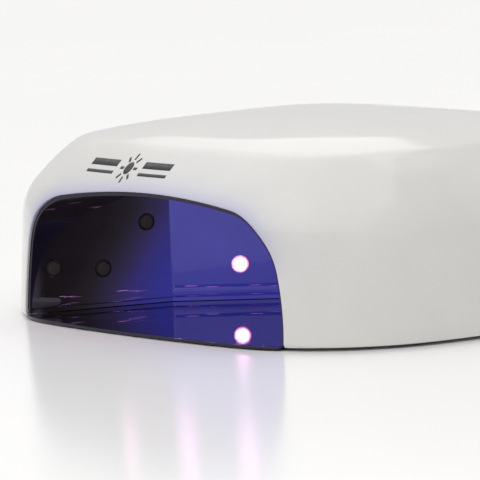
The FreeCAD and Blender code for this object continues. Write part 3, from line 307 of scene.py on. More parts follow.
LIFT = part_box("upper_housing")[0].z / MM
HALF_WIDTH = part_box("upper_housing")[1].x / MM
DEPTH = 240.0
FRONT = -DEPTH / 2
SHELL_HEIGHT = 88.0
WALL = 2.6
WALL_DRAFT = 3.44
WALL_HEIGHT = 45.0
SHOULDER_RADIUS, SHOULDER_TURN = 26.3, 37.6
BROW_RADIUS, BROW_SLOPE = 110.7, 34.5
CROWN_SQUARE, CROWN_FULL = 3.6, 2.8
SIDE_RADIUS, SIDE_TURN = 187.0, 15.5
FOOT_ROUND = 0.7
CORE = 58.0  # inset where the columns turn towards the middle
OUTLINE_STEPS = (34, 46, 12)  # points along the end, corner and side arcs of a quarter
FOOT_STEPS, WALL_STEPS, SHOULDER_STEPS = 4, 10, 12


def tangent_arcs(corner_radius, corner_end):
    """The plan's side, corner and end arcs, each tangent to the next, by their centres and radii."""
    side_x = HALF_WIDTH - SIDE_RADIUS
    corner_x = side_x + (SIDE_RADIUS - corner_radius) * cos(radians(SIDE_TURN))
    corner_y = (SIDE_RADIUS - corner_radius) * sin(radians(SIDE_TURN))
    end_radius = corner_radius + corner_x / cos(radians(corner_end))
    end_y = corner_y - (end_radius - corner_radius) * sin(radians(corner_end))
    return side_x, corner_x, corner_y, end_radius, end_y


CORNER_RADII = (76.0, 80.0)
CORNER_ENDS = (85.0, 83.0)
ARCS = [tangent_arcs(r, e) for r, e in zip(CORNER_RADII, CORNER_ENDS)]
WIDEST = [FRONT + ARCS[0][3] + ARCS[0][4], -FRONT - ARCS[1][3] - ARCS[1][4]]


def outline_columns():
    """Points of the plan outline and their outward directions, from the middle of the front, past +X,
    to the middle of the rear."""
    columns = []
    for end, sign in ((0, -1), (1, 1)):
        side_x, corner_x, corner_y, end_radius, end_y = ARCS[end]
        half = []
        spans = [(0, end_y, end_radius, 90, CORNER_ENDS[end]),
                 (corner_x, corner_y, CORNER_RADII[end], CORNER_ENDS[end], SIDE_TURN),
                 (side_x, 0, SIDE_RADIUS, SIDE_TURN, 0)]
        for (cx, cy, radius, start, stop), steps in zip(spans, OUTLINE_STEPS):
            for a in turns(start, stop, steps)[:-1]:
                half.append((cx + radius * cos(a), WIDEST[end] + sign * (cy + radius * sin(a)),
                             cos(a), sign * sin(a)))
        half.append((HALF_WIDTH, WIDEST[end], 1.0, 0.0))
        columns += half if end == 0 else half[::-1]
    return columns


def section_curve():
    """The shell's section as (inset, height) from the foot to the end of the shoulder, and the centre of
    the brow's circle."""
    draft = radians(WALL_DRAFT)
    points = []
    for a in turns(0, 90, FOOT_STEPS):
        z = FOOT_ROUND * (1 - cos(a))
        points.append((FOOT_ROUND * (1 - sin(a)) + z * tan(draft), z))
    for k in range(1, WALL_STEPS + 1):
        z = FOOT_ROUND + (WALL_HEIGHT - FOOT_ROUND) * k / WALL_STEPS
        points.append((z * tan(draft), z))
    top = points[-1]
    centre = (top[0] + SHOULDER_RADIUS * cos(draft), top[1] - SHOULDER_RADIUS * sin(draft))
    for k in range(1, SHOULDER_STEPS + 1):
        a = draft + radians(SHOULDER_TURN) * k / SHOULDER_STEPS
        points.append((centre[0] - SHOULDER_RADIUS * cos(a), centre[1] + SHOULDER_RADIUS * sin(a)))
    end = points[-1]
    ratio = BROW_RADIUS / SHOULDER_RADIUS
    brow = (end[0] + (centre[0] - end[0]) * ratio, end[1] + (centre[1] - end[1]) * ratio)
    return points, brow


SECTION, BROW = section_curve()
RIM_INSET = BROW[0] - BROW_RADIUS * sin(radians(BROW_SLOPE))
RIM_HEIGHT = BROW[1] + BROW_RADIUS * cos(radians(BROW_SLOPE))


def brow_height(inset):
    return BROW[1] + np.sqrt(np.maximum(BROW_RADIUS ** 2 - (inset - BROW[0]) ** 2, 0))


def crown_height(x, y):
    level = (np.abs(x) / (HALF_WIDTH - RIM_INSET)) ** CROWN_SQUARE
    level = level + (np.abs(y) / (DEPTH / 2 - RIM_INSET)) ** CROWN_SQUARE
    return SHELL_HEIGHT - (SHELL_HEIGHT - RIM_HEIGHT) * level ** (CROWN_FULL / CROWN_SQUARE)


CREASE_BLEND = 1.6  # how far below and above the crease the blend reaches
BROW_END, BROW_STATIONS = 34, 60  # last inset on the brow's curve and the number of stations on it


def shoulder_or_crown(inset, x, y):
    """The lower of the brow and the crown, blended over the crease between them."""
    a, b = brow_height(inset), crown_height(x, y)
    h = np.clip(0.5 + 0.5 * (b - a) / CREASE_BLEND, 0, 1)
    return b * (1 - h) + a * h - CREASE_BLEND * h * (1 - h)


INSETS = np.linspace(SECTION[-1][0], BROW_END, BROW_STATIONS)
CURVE_Z = np.array([p[1] for p in SECTION] + list(brow_height(INSETS[1:])))
CURVE_S = np.array([p[0] for p in SECTION] + list(INSETS[1:]))


def front_y(x, z, inset=0.0):
    """Y of the front of the shell at (x, height over the foot), with the surface moved inwards by inset."""
    s = np.interp(z + inset, CURVE_Z, CURVE_S) + inset
    _, corner_x, corner_y, end_radius, end_y = ARCS[0]
    x = abs(x)
    if x <= (end_radius - s) * cos(radians(CORNER_ENDS[0])):
        return WIDEST[0] - end_y - sqrt((end_radius - s) ** 2 - x ** 2)
    reach = CORNER_RADII[0] - s
    return WIDEST[0] - corner_y - sqrt(max(reach ** 2 - (x - corner_x) ** 2, 0))


ARCH_HEIGHT = 61.4
ARCH_COUNTS = (24, 30, 14)  # points along the arch's top, corner and jamb


def arch_arcs():
    """The mouth's arcs from the apex down: (centre x, centre height, radius, first and last angle)."""
    top_radius, corner_radius, jamb_radius = 397.0, 32.5, 147.0
    top_turn, corner_end = 8.3, 77.8
    top_z = ARCH_HEIGHT - top_radius
    reach = top_radius - corner_radius
    corner_x = reach * sin(radians(top_turn))
    corner_z = top_z + reach * cos(radians(top_turn))
    jamb_x = corner_x + (corner_radius - jamb_radius) * sin(radians(corner_end))
    jamb_z = corner_z + (corner_radius - jamb_radius) * cos(radians(corner_end))
    return [(0, top_z, top_radius, 0, top_turn),
            (corner_x, corner_z, corner_radius, top_turn, corner_end),
            (jamb_x, jamb_z, jamb_radius, corner_end, 90)]


ARCH_ARCS = arch_arcs()


def arch_half(inset, counts=ARCH_COUNTS):
    """Points (x, height) on the +X half of the arch, from the apex down to the foot."""
    points = []
    for (cx, cz, radius, start, stop), count in zip(ARCH_ARCS, counts):
        for a in turns(start, stop, count)[:-1]:
            points.append((cx + (radius - inset) * sin(a), cz + (radius - inset) * cos(a)))
    cx, cz, radius, _, _ = ARCH_ARCS[2]
    points.append((cx + radius - inset, cz))
    points.append((cx + radius - inset, 0.0))
    return points


def resample(points, count):
    """Points evenly spaced along a polyline."""
    p = np.array(points, float)
    d = np.concatenate([[0], np.cumsum(np.linalg.norm(np.diff(p, axis=0), axis=1))])
    t = np.linspace(0, d[-1], count)
    return np.stack([np.interp(t, d, p[:, k]) for k in range(p.shape[1])], 1)


# -------- upper housing

BROW_ROWS, FLAT_ROWS, CORE_ROWS = 12, 9, 14
CREASE_STEPS = (-4.0, -3.2, -2.4, -1.6, -0.8, 0.0, 0.8, 1.6, 2.4, 3.2, 4.0)
CREASE_REACH = 4.0
CREASE_SEARCH, CREASE_HALVINGS = (15.0, 45.0), 40
MOUTH_COLUMN_X = 106  # the mouth's strips end at the first column beyond this X
ROWS_OVER_SHOULDER = 5  # and this many rows over the section's last one
JAMB_X = 80  # the arch's points beyond this X belong to its sides
RING_STEPS, RING_CROWDING = 12, 1.5
LIP, LIP_STEPS = 0.9, 6
RECESS = (-42, 112.5, 11), (42, 125, 33)
RECESS_ROUND = 3.5
SWITCH_HOLE_HALF = (9.7, 6.5)
SWITCH_HOLE_Y = (108, 115)
SWITCH_HOLE_Z = 22
INLET_HOLE_RADIUS, INLET_HOLE_Y, INLET_HOLE_LENGTH = 5.6, 107, 8
BUTTON_HOLE_RADIUS, PIPE_HOLE_RADIUS = 6.3, 1.35
TOP_HOLE_Z = (70, 95)
PIPE_AHEAD = 12  # how far in front of its button a light pipe stands
REAR_BLOCK_X, REAR_BLOCK_Y, REAR_BLOCK_Z = 45, 109.9, (9, 36)
REAR_BLOCK_INSET, REAR_BLOCK_GAP, REAR_BLOCK_STEPS = 1.3, 0.6, 12


def column_rows(column):
    """A column of the outer surface from its foot to near the middle, as points."""
    px, py, nx, ny = column
    low, high = CREASE_SEARCH
    for _ in range(CREASE_HALVINGS):
        mid = (low + high) / 2
        if brow_height(mid) < crown_height(px - nx * mid, py - ny * mid):
            low = mid
        else:
            high = mid
    crease = low
    start = SECTION[-1][0]
    insets = [start + (crease - CREASE_REACH - start) * k / BROW_ROWS for k in range(1, BROW_ROWS)]
    insets += [crease + step for step in CREASE_STEPS]
    insets += [crease + CREASE_REACH + (CORE - crease - CREASE_REACH) * k / FLAT_ROWS
               for k in range(1, FLAT_ROWS + 1)]
    points = [(px - nx * s, py - ny * s, z) for s, z in SECTION]
    for s in insets:
        x, y = px - nx * s, py - ny * s
        points.append((x, y, float(shoulder_or_crown(s, x, y))))
    x0, y0 = points[-1][:2]
    for k in range(1, CORE_ROWS):
        t = 1 - k / CORE_ROWS
        points.append((x0 * t, y0 * t, float(crown_height(x0 * t, y0 * t))))
    return points


def outer_skin():
    """The outer surface: a ring of columns, with a fan of strips round the mouth.
    Returns points, faces, the mouth's edge and the foot's edge as point indices, and the mouth's edge as
    (x, height over the foot)."""
    half = outline_columns()
    ring = half + [(-x, y, -nx, ny) for x, y, nx, ny in half[::-1]][1:-1]
    grid = [column_rows(c) for c in ring]
    count, rows = len(grid), len(grid[0])
    edge_column = next(k for k, c in enumerate(half) if c[0] > MOUTH_COLUMN_X)
    top_row = len(SECTION) + ROWS_OVER_SHOULDER
    verts, index = [], {}

    def vertex(j, i):
        key = (j % count, i)
        if key not in index:
            index[key] = len(verts)
            x, y, z = grid[key[0]][i]
            verts.append((x, y, z + LIFT))
        return index[key]

    faces = []
    for j in range(count):
        in_front = j < edge_column or j >= count - edge_column
        first = top_row if in_front else 0
        for i in range(first, rows - 1):
            faces.append((vertex(j, i), vertex(j + 1, i), vertex(j + 1, i + 1), vertex(j, i + 1)))
    middle = len(verts)
    verts.append((0, 0, LIFT + SHELL_HEIGHT))
    for j in range(count):
        faces.append((vertex(j, rows - 1), vertex(j + 1, rows - 1), middle))
    outer = [vertex(edge_column, i) for i in range(top_row)]
    outer += [vertex(j, top_row) for j in range(edge_column, -edge_column - 1, -1)]
    outer += [vertex(-edge_column, i) for i in range(top_row - 1, -1, -1)]
    arch = arch_half(-LIP)[::-1]
    jamb = next(k for k, p in enumerate(arch) if p[0] < JAMB_X)
    side = resample(arch[:jamb + 1], top_row + 1)
    across = resample(arch[jamb:] + [(-x, z) for x, z in arch[jamb:-1][::-1]], 2 * edge_column + 1)
    inner = list(side[:-1]) + list(across) + [(-x, z) for x, z in side[:-1][::-1]]
    strips = []
    for k, outside in enumerate(outer):
        x1, _, z1 = verts[outside]
        x0, z0 = inner[k]
        strip = []
        for w in range(RING_STEPS):
            t = (w / RING_STEPS) ** RING_CROWDING
            x, z = x0 + (x1 - x0) * t, z0 + (z1 - LIFT - z0) * t
            strip.append(len(verts))
            verts.append((x, front_y(x, z), z + LIFT))
        strips.append(strip + [outside])
    for a, b in zip(strips, strips[1:]):
        faces += [(a[w], b[w], b[w + 1], a[w + 1]) for w in range(RING_STEPS)]
    foot = strips[-1][:-1] + [vertex(j, 0) for j in range(count - edge_column, edge_column - 1, -1)]
    foot += strips[0][:-1][::-1]
    return verts, faces, [s[0] for s in strips], foot, inner


def make_housing():
    """The shell: its outer skin, the same skin moved inwards, the lip between them, and the holes."""
    verts, faces, mouth, foot, arch = outer_skin()
    count = len(verts)
    probe = bpy.data.meshes.new("probe")
    probe.from_pydata(verts, [], faces)
    bm = bmesh.new()
    bm.from_mesh(probe)
    bmesh.ops.recalc_face_normals(bm, faces=bm.faces)
    bm.normal_update()
    flip = -1 if sum(f.normal.z * f.calc_area() for f in bm.faces) < 0 else 1
    normals = [v.normal * flip for v in bm.verts]
    bm.free()
    bpy.data.meshes.remove(probe)
    everything = list(verts)
    for v, n in zip(verts, normals):
        p = Vector(v) - n * WALL
        everything.append((p.x, p.y, max(p.z, LIFT)))
    for k in foot:
        x, y, _ = verts[k]
        n = Vector((normals[k].x, normals[k].y, 0)).normalized()
        everything[count + k] = (x - n.x * (WALL - FOOT_ROUND), y - n.y * (WALL - FOOT_ROUND), LIFT)
    faces = faces + [tuple(count + i for i in f[::-1]) for f in faces]
    lips = []
    for k, (x, z) in zip(mouth, arch):
        everything[count + k] = (x, front_y(x, z, WALL), z + LIFT)
        nx, nz = arch_direction(x, z)
        ax, az = x - nx * LIP, max(z - nz * LIP, 0.0)
        start, corner = Vector(verts[k]), Vector((ax, front_y(ax, az), az + LIFT))
        end = corner + Vector((0, LIP, 0))
        row = [k]
        for step in range(1, LIP_STEPS + 1):
            t = step / LIP_STEPS
            point = start * (1 - t) ** 2 + corner * 2 * t * (1 - t) + end * t ** 2
            row.append(len(everything))
            everything.append(tuple(point))
        row.append(len(everything))
        everything.append((ax, front_y(ax, az, WALL), az + LIFT))
        row.append(count + k)
        lips.append(row)
    for a, b in zip(lips, lips[1:]):
        faces += [(a[i], a[i + 1], b[i + 1], b[i]) for i in range(len(a) - 1)]
    for a, b in zip(foot, foot[1:]):
        faces.append((a, b, count + b, count + a))
    for row in (lips[0], lips[-1]):
        faces.append(tuple(row))
    shell = mesh_object("housing_shell", everything, faces, 40)
    boolean(shell, "UNION", [rear_block()])
    cutters = [rounded_box("recess", *RECESS, RECESS_ROUND, 8)]
    low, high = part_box("power_switch_case")
    x, (half_x, half_z), (y0, y1) = (low.x + high.x) / 2 / MM, SWITCH_HOLE_HALF, SWITCH_HOLE_Y
    cutters.append(rounded_box("switch_hole", (x - half_x, y0, SWITCH_HOLE_Z - half_z),
                               (x + half_x, y1, SWITCH_HOLE_Z + half_z), 1.0, 4))
    low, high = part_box("inlet_barrel")
    inlet = (low + high) / 2 / MM
    cutters.append(lathe("inlet_hole", rod(INLET_HOLE_RADIUS, 0, INLET_HOLE_LENGTH),
                         (inlet.x, INLET_HOLE_Y, inlet.z), (0, 1, 0)))
    for number in (1, 2, 3):
        low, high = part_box(f"timer_button_{number}")
        x, y = (low.x + high.x) / 2 / MM, (low.y + high.y) / 2 / MM
        cutters.append(lathe("button_hole", rod(BUTTON_HOLE_RADIUS, *TOP_HOLE_Z), (x, y, 0)))
        cutters.append(lathe("pipe_hole", rod(PIPE_HOLE_RADIUS, *TOP_HOLE_Z), (x, y - PIPE_AHEAD, 0),
                             segments=24))
    boolean(shell, "DIFFERENCE", cutters)
    return smooth(shell, 35)


def arch_direction(x, z):
    """The direction away from the mouth at a point on its edge."""
    side = 1 if x >= 0 else -1
    x = abs(x)
    if z < ARCH_ARCS[2][1]:
        return side, 0.0
    for cx, cz, _, start, stop in ARCH_ARCS:
        a = degrees(atan2(x - cx, z - cz))
        if start - 0.01 <= a <= stop + 0.01:
            return side * sin(radians(a)), cos(radians(a))
    return side, 0.0


def rear_block():
    """The thicker part of the shell round the rear recess."""
    _, _, _, end_radius, end_y = ARCS[1]
    plan = []
    for k in range(REAR_BLOCK_STEPS + 1):
        x = -REAR_BLOCK_X + 2 * REAR_BLOCK_X * k / REAR_BLOCK_STEPS
        arc_y = sqrt((end_radius - REAR_BLOCK_INSET) ** 2 - x ** 2)
        plan.append((x, WIDEST[1] + end_y + arc_y - REAR_BLOCK_GAP))
    plan += [(REAR_BLOCK_X, REAR_BLOCK_Y), (-REAR_BLOCK_X, REAR_BLOCK_Y)]
    verts = [(x, y, z) for z in REAR_BLOCK_Z for x, y in plan]
    return mesh_object("rear_block", verts, rings(2, len(plan)))


# -------- mirrored liner

MOUTH, FOLD, REAR = (86.0, -108.0), (62.0, -43.0), (20.0, -1.0)  # the cavity's corners in plan
LINER_INSET, LINER_SETBACK, LINER_WALL = 1.9, 1.9, 1.6
LINER_FOOT, ROOF_LOW_ROW = 0.7, 2.0
BEAD = (2.3, 8.0, 1.2)  # its lower and upper height and how far it stands out
BEAD_STEPS, BEAD_TAPER = 12, 5
BELOW_BEAD, ABOVE_BEAD = 0.25, 0.3
WALL_COUNTS = (60, 40, 30, 40, 60)  # stations along each wall
WALL_ROWS, ROOF_ROWS = 26, 30
ROOF_COUNTS, FINE_COUNTS = (40, 44, 30), (60, 80, 60)
SIDE_LIGHTS = ((12, 22), (36, 20), (58, 40))  # (distance along the wall, height)
CORNER_LIGHT = (31.9, 18.6)
REAR_LIGHT_Z = 20
ROOF_LIGHTS = ((-42, -88), (0, -88), (42, -88), (-42, -56), (0, -56), (42, -56), (0, -24))
LENS_HOLE_RADIUS, LENS_HOLE_REACH = 4.15, 6
LENS_RADIUS = 3.95


def panel_x_to_y(x):
    """Y of the cavity's walls at x."""
    x = abs(x)
    if x <= REAR[0]:
        return REAR[1]
    (x0, y0), (x1, y1) = (REAR, FOLD) if x <= FOLD[0] else (FOLD, MOUTH)
    return y0 + (x - x0) * (y1 - y0) / (x1 - x0)


def inward_path(depth):
    """The cavity's plan path moved inwards, as corner points from the -X front round to the +X front."""
    lines = []
    corners = [MOUTH, FOLD, REAR, (-REAR[0], REAR[1])]
    for (x0, y0), (x1, y1) in zip(corners, corners[1:]):
        length = hypot(x1 - x0, y1 - y0)
        nx, ny = -(y1 - y0) / length, (x1 - x0) / length
        lines.append((x0 + nx * depth, y0 + ny * depth, (x1 - x0) / length, (y1 - y0) / length))

    def meet(a, b):
        det = a[2] * -b[3] + b[2] * a[3]
        t = ((b[0] - a[0]) * -b[3] + b[2] * (b[1] - a[1])) / det
        return a[0] + a[2] * t, a[1] + a[3] * t

    first = (lines[0][0], lines[0][1])
    half = [first, meet(lines[0], lines[1]), meet(lines[1], lines[2])]
    return [(-x, y) for x, y in half] + half[::-1]


ARCH_INNER = np.array(arch_half(LINER_INSET, FINE_COUNTS))


def roof_over(x):
    """Height over the shell's foot of the liner's roof at x."""
    order = np.argsort(ARCH_INNER[:-1, 0])
    return float(np.interp(abs(x), *ARCH_INNER[:-1][order].T))


def bead_rows():
    """(height over the foot, depth) up the wall, over the bead to just above it."""
    low, high, depth = BEAD
    rows = [(LINER_FOOT, 0.0), (low - BELOW_BEAD, 0.0)]
    for k in range(BEAD_STEPS + 1):
        a = pi * k / BEAD_STEPS
        rows.append(((low + high) / 2 - (high - low) / 2 * cos(a), depth * sin(a)))
    rows.append((high + ABOVE_BEAD, 0.0))
    return rows


def make_liner():
    """The mirrored walls with their bead, and the roof, thickened and cut for the lenses."""
    rows = bead_rows()
    front_half = ARCH_INNER[-2][0]
    base = inward_path(0.0)
    stations = [(k, i / count) for k, count in enumerate(WALL_COUNTS) for i in range(count)]
    stations.append((4, 1.0))
    paths = {d: inward_path(d) for d in {r[1] for r in rows}}
    grid = []
    for k, t in stations:
        line = []
        x, y = (base[k][i] + (base[k + 1][i] - base[k][i]) * t for i in (0, 1))
        taper = 1.0
        if k in (0, 4):
            along = t if k == 0 else 1 - t
            taper = min(1.0, along * BEAD_TAPER)
        top = roof_over(x)
        for z, depth in rows:
            path = paths[depth]
            px = path[k][0] + (path[k + 1][0] - path[k][0]) * t
            py = path[k][1] + (path[k + 1][1] - path[k][1]) * t
            line.append((x + (px - x) * taper, y + (py - y) * taper, min(z, top)))
        for i in range(1, WALL_ROWS + 1):
            z = rows[-1][0] + (top - rows[-1][0]) * i / WALL_ROWS
            line.append((x, y, z if top > rows[-1][0] else top))
        grid.append(line)
    verts, faces = [(x, y, z + LIFT) for line in grid for x, y, z in line], []
    n = len(grid[0])
    for a in range(len(grid) - 1):
        for b in range(n - 1):
            faces.append((a * n + b, (a + 1) * n + b, (a + 1) * n + b + 1, a * n + b + 1))
    # the roof runs over the same stations' x, so that its edge meets the walls' tops
    start = len(verts)
    half = arch_half(LINER_INSET, ROOF_COUNTS)[::-1]
    arch = [(-x, z) for x, z in half[:-1]] + half[::-1]
    xs = sorted({round(v, 4) for v in [p[0][0] for p in grid]})
    curve = {round(x, 4): z for x, z in arch}
    for x in xs:
        curve.setdefault(x, roof_over(x))
    low_left = [(-front_half, LINER_FOOT), (-front_half, ROOF_LOW_ROW)]
    samples = [(x, z) for x, z in sorted(curve.items()) if abs(x) < front_half - 0.001]
    samples = low_left + samples + [(-x, z) for x, z in low_left[::-1]]
    for x, z in samples:
        y0, y1 = front_y(x, z, LINER_SETBACK), panel_x_to_y(x)
        for i in range(ROOF_ROWS + 1):
            verts.append((x, y0 + (y1 - y0) * i / ROOF_ROWS, z + LIFT))
    m = ROOF_ROWS + 1
    for a in range(len(samples) - 1):
        for b in range(ROOF_ROWS):
            faces.append((start + a * m + b, start + a * m + b + 1,
                          start + (a + 1) * m + b + 1, start + (a + 1) * m + b))
    liner = mesh_object("mirror_liner", verts, faces, 25, merge=0.02)
    inside = Vector((0, -50 * MM, 30 * MM))
    up = max(liner.data.polygons, key=lambda p: p.center.z)
    if (inside - up.center).dot(up.normal) < 0:
        liner.data.flip_normals()
    thick = liner.modifiers.new("thickness", "SOLIDIFY")
    thick.thickness = LINER_WALL * MM
    thick.offset = -1
    apply_modifiers(liner)
    cutters = []
    for _, centre, direction in LENSES:
        hole = rod(LENS_HOLE_RADIUS, -LENS_HOLE_REACH, LENS_HOLE_REACH)
        cutters.append(lathe("hole", hole, centre, direction, 48))
    boolean(liner, "DIFFERENCE", cutters)
    return smooth(liner, 25)


def panel_frame(start, end):
    """A wall's start, its direction in plan and the direction out of the cavity."""
    a, b = Vector((*start, 0)), Vector((*end, 0))
    along = (b - a).normalized()
    outward = Vector((along.y, -along.x, 0))
    if outward.dot((a + b) / 2 - Vector((0, FOLD[1], 0))) < 0:
        outward = -outward
    return a, along, outward


def lens_places():
    """(bank, centre on the wall's face, direction out of the wall) of each lens, in millimetres."""
    found = []
    for side, name in ((-1, "left"), (1, "right")):
        mouth, fold, rear = ((side * x, y) for x, y in (MOUTH, FOLD, REAR))
        a, along, outward = panel_frame(mouth, fold)
        for distance, height in SIDE_LIGHTS:
            found.append((f"{name}_side", a + along * distance + Vector((0, 0, height)), -outward))
        a, along, outward = panel_frame(fold, rear)
        distance, height = CORNER_LIGHT
        found.append((f"{name}_corner", a + along * distance + Vector((0, 0, height)), -outward))
    found.append(("rear", Vector((0, REAR[1], REAR_LIGHT_Z)), Vector((0, -1, 0))))
    for x, y in ROOF_LIGHTS:
        found.append(("roof", Vector((x, y, roof_over(x) + LIFT)), Vector((0, 0, -1))))
    return found


LENSES = lens_places()


def make_lens(place_at, direction):
    """A domed lens with a chamfered rim."""
    top, fall, dome, steps, foot = 0.5, 0.55, 3.7, 11, -3.0
    profile = [(0, top)]
    for k in range(1, steps + 1):
        r = dome * k / steps
        profile.append((r, top - fall * (r / dome) ** 2))
    profile += [(3.85, -0.12), (LENS_RADIUS, -0.3), (LENS_RADIUS, foot), (0, foot)]
    return lathe("lens", profile, place_at, direction, 48, 50)


def make_lens_bank(bank):
    """One wall's lenses, with each point's distance from its lens's axis as an attribute, 1 at the rim."""
    parts = [make_lens(p, d) for name, p, d in LENSES if name == bank]
    centres = [(Vector(p) * MM, Vector(d)) for name, p, d in LENSES if name == bank]
    obj = join(f"{bank}_lens_caps", parts)
    layer = obj.data.attributes.new("radial", "FLOAT", "POINT")
    for v in obj.data.vertices:
        nearest = min(((v.co - c) - d * (v.co - c).dot(d)).length for c, d in centres)
        layer.data[v.index].value = nearest / (LENS_RADIUS * MM)
    return obj


# -------- tray, buttons and rocker

TRAY_OVER_FOOT = 0.4  # height of the tray's face over the shell's foot
TRAY_FRONT_POINTS = 121
TRAY_SHOULDERS = ((0, -57.0), (1.2, -55.0), (17, -40.0))  # (distance in from the side, y)
TRAY_REAR_X = 23.0


def make_tray():
    """The mirror sheet with a rounded edge."""
    low, high = (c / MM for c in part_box("base_tray"))
    half, rear = high.x, high.y
    plan = [(x, front_y(x, TRAY_OVER_FOOT)) for x in np.linspace(-half, half, TRAY_FRONT_POINTS)]
    side = [(half - x, y) for x, y in TRAY_SHOULDERS] + [(TRAY_REAR_X, rear)]
    plan += side + [(-x, y) for x, y in side[::-1]]
    # the rounded edge as (inset, height), from the underside to the face
    rows = [(0.3, low.z), (0.08, low.z + 0.08), (0, low.z + 0.3), (0, high.z - 0.35), (0.05, high.z - 0.17),
            (0.17, high.z - 0.05), (0.35, high.z), (0.9, high.z)]
    n = len(plan)
    inward = []
    for k in range(n):
        before, after = Vector(plan[k - 1]), Vector(plan[(k + 1) % n])
        along = (after - before).normalized()
        inward.append((-along.y, along.x))
    verts = []
    for inset, z in rows:
        verts += [(x + dx * inset, y + dy * inset, z) for (x, y), (dx, dy) in zip(plan, inward)]
    return mesh_object("tray_sheet", verts, rings(len(rows), n), 60)


BUTTON_SINK = 0.35  # how far a cap's rim lies under the crown
FLANGE_FOOT, FLANGE_TOP = 78.6, 80.0
CAP_GAP, CAP_ROUND, CAP_STEPS = 1.4, 0.7, 6
DISH_MARGIN, DISH_DEPTH = 1.1, 0.55
DISH_STEPS = (1.0, 0.9, 0.75, 0.6, 0.45, 0.3, 0.15, 0)
DOT_PLACES = {1: [0.0], 2: [-1.5, 1.5], 3: [-2.4, 0.0, 2.4]}
DOT_RADIUS, DOT_SINK, DOT_SIDE, DOT_RISE = 0.62, 0.3, 0.05, 0.32


def make_button(number):
    """A dished button cap with one, two or three raised dots, its flange and its stem."""
    low, high = (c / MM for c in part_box(f"timer_button_{number}"))
    x, y = (low.x + high.x) / 2, (low.y + high.y) / 2
    level = crown_height(x, y)
    top = level + LIFT - BUTTON_SINK
    flange = (high.x - low.x) / 2
    cap, dish = flange - CAP_GAP, flange - CAP_GAP - DISH_MARGIN
    profile = [(0, low.z), (1.9, low.z), (2.2, low.z + 0.3), (2.2, FLANGE_FOOT), (flange, FLANGE_FOOT),
               (flange, FLANGE_TOP), (cap, FLANGE_TOP)]
    for a in turns(0, 90, CAP_STEPS):
        profile.append((cap - CAP_ROUND + CAP_ROUND * cos(a), top - CAP_ROUND + CAP_ROUND * sin(a)))
    profile += [(dish * t, top - DISH_DEPTH * (1 - t ** 2)) for t in DISH_STEPS]
    parts = [lathe("cap", profile, (x, y, 0), segments=72)]
    dot = [(0, -DOT_SINK), (DOT_RADIUS, -DOT_SINK), (DOT_RADIUS, DOT_SIDE)]
    for a in (20, 40, 60, 80, 90):
        a = radians(a)
        dot.append((DOT_RADIUS * cos(a), DOT_SIDE + DOT_RISE * sin(a)))
    for shift in DOT_PLACES[number]:
        floor = top - DISH_DEPTH * (1 - (abs(shift) / dish) ** 2)
        parts.append(lathe("dot", dot, (x + shift, y, floor), segments=24))
    whole = join(f"timer_cap_{number}", parts)
    for v in whole.data.vertices:
        rise = v.co.z / MM - FLANGE_TOP
        if rise > 0.01:
            slope = crown_height(v.co.x / MM, v.co.y / MM) - level
            v.co.z += slope * rise / (top - FLANGE_TOP) * MM
    return whole


ROCKER_PIVOT_Y, ROCKER_TILT = 112.0, 8.0
ROCKER_HALF, ROCKER_DEPTH, ROCKER_ROUND = 8.2, 5.2, 0.3


def make_rocker():
    """The rocker with a dished face and a raised bar and ring."""
    low, high = (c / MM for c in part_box("power_rocker"))
    x, z = (low.x + high.x) / 2, (low.z + high.z) / 2
    half, depth, edge = ROCKER_HALF, ROCKER_DEPTH, ROCKER_ROUND
    outline = [(-half, -1.5), (-half, 3.2), (-half + 0.35, 3.52)]
    outline += [(u, 2.55 + 0.95 * (u / half) ** 2) for u in np.linspace(-half + 0.8, half - 0.8, 25)]
    outline += [(half - 0.35, 3.52), (half, 3.2), (half, -1.5), (0, -4.5)]
    verts = []
    for inset, level in ((edge, -depth), (0, -depth + edge), (0, depth - edge), (edge, depth)):
        for u, v in outline:
            k = 1 - inset / half
            verts.append((u * k, v - inset * (1 if v > 0 else -1) * 0.8, level))
    body = mesh_object("rocker", verts, rings(4, len(outline)), 30)
    marks = [rounded_box("bar", (-5.2, 2.5, -1.6), (-4.7, 3.06, 1.6), 0.2, 3)]
    ring = [(1.1, 0), (1.6, 0), (1.6, 0.55), (1.1, 0.55)]
    marks.append(lathe("ring", ring, (5.0, 2.5, 0), (0, 1, 0), 32))
    whole = join("rocker_face", [body] + marks)
    turn = Matrix.Translation(Vector((x, ROCKER_PIVOT_Y, z)) * MM)
    whole.data.transform(turn @ Matrix.Rotation(radians(-ROCKER_TILT), 4, "Z"))
    return whole


MARK_SHARE = (0.422, 0.802)  # place of the mark in the housing's width and height
MARK_LIFT, MARK_THICKNESS = 0.04, 0.03
SUN_RADII, SUN_STEPS = (0.02, 2.42), 40
RAY_RADII, RAY_HALF = (3.4, 4.2, 5.0, 5.8), 0.5
BARS = ((1.6, 1.3), (-2.1, 0.6))  # (height, half width)
BAR_REACH, BAR_POINTS = (9.0, 28.0), 28


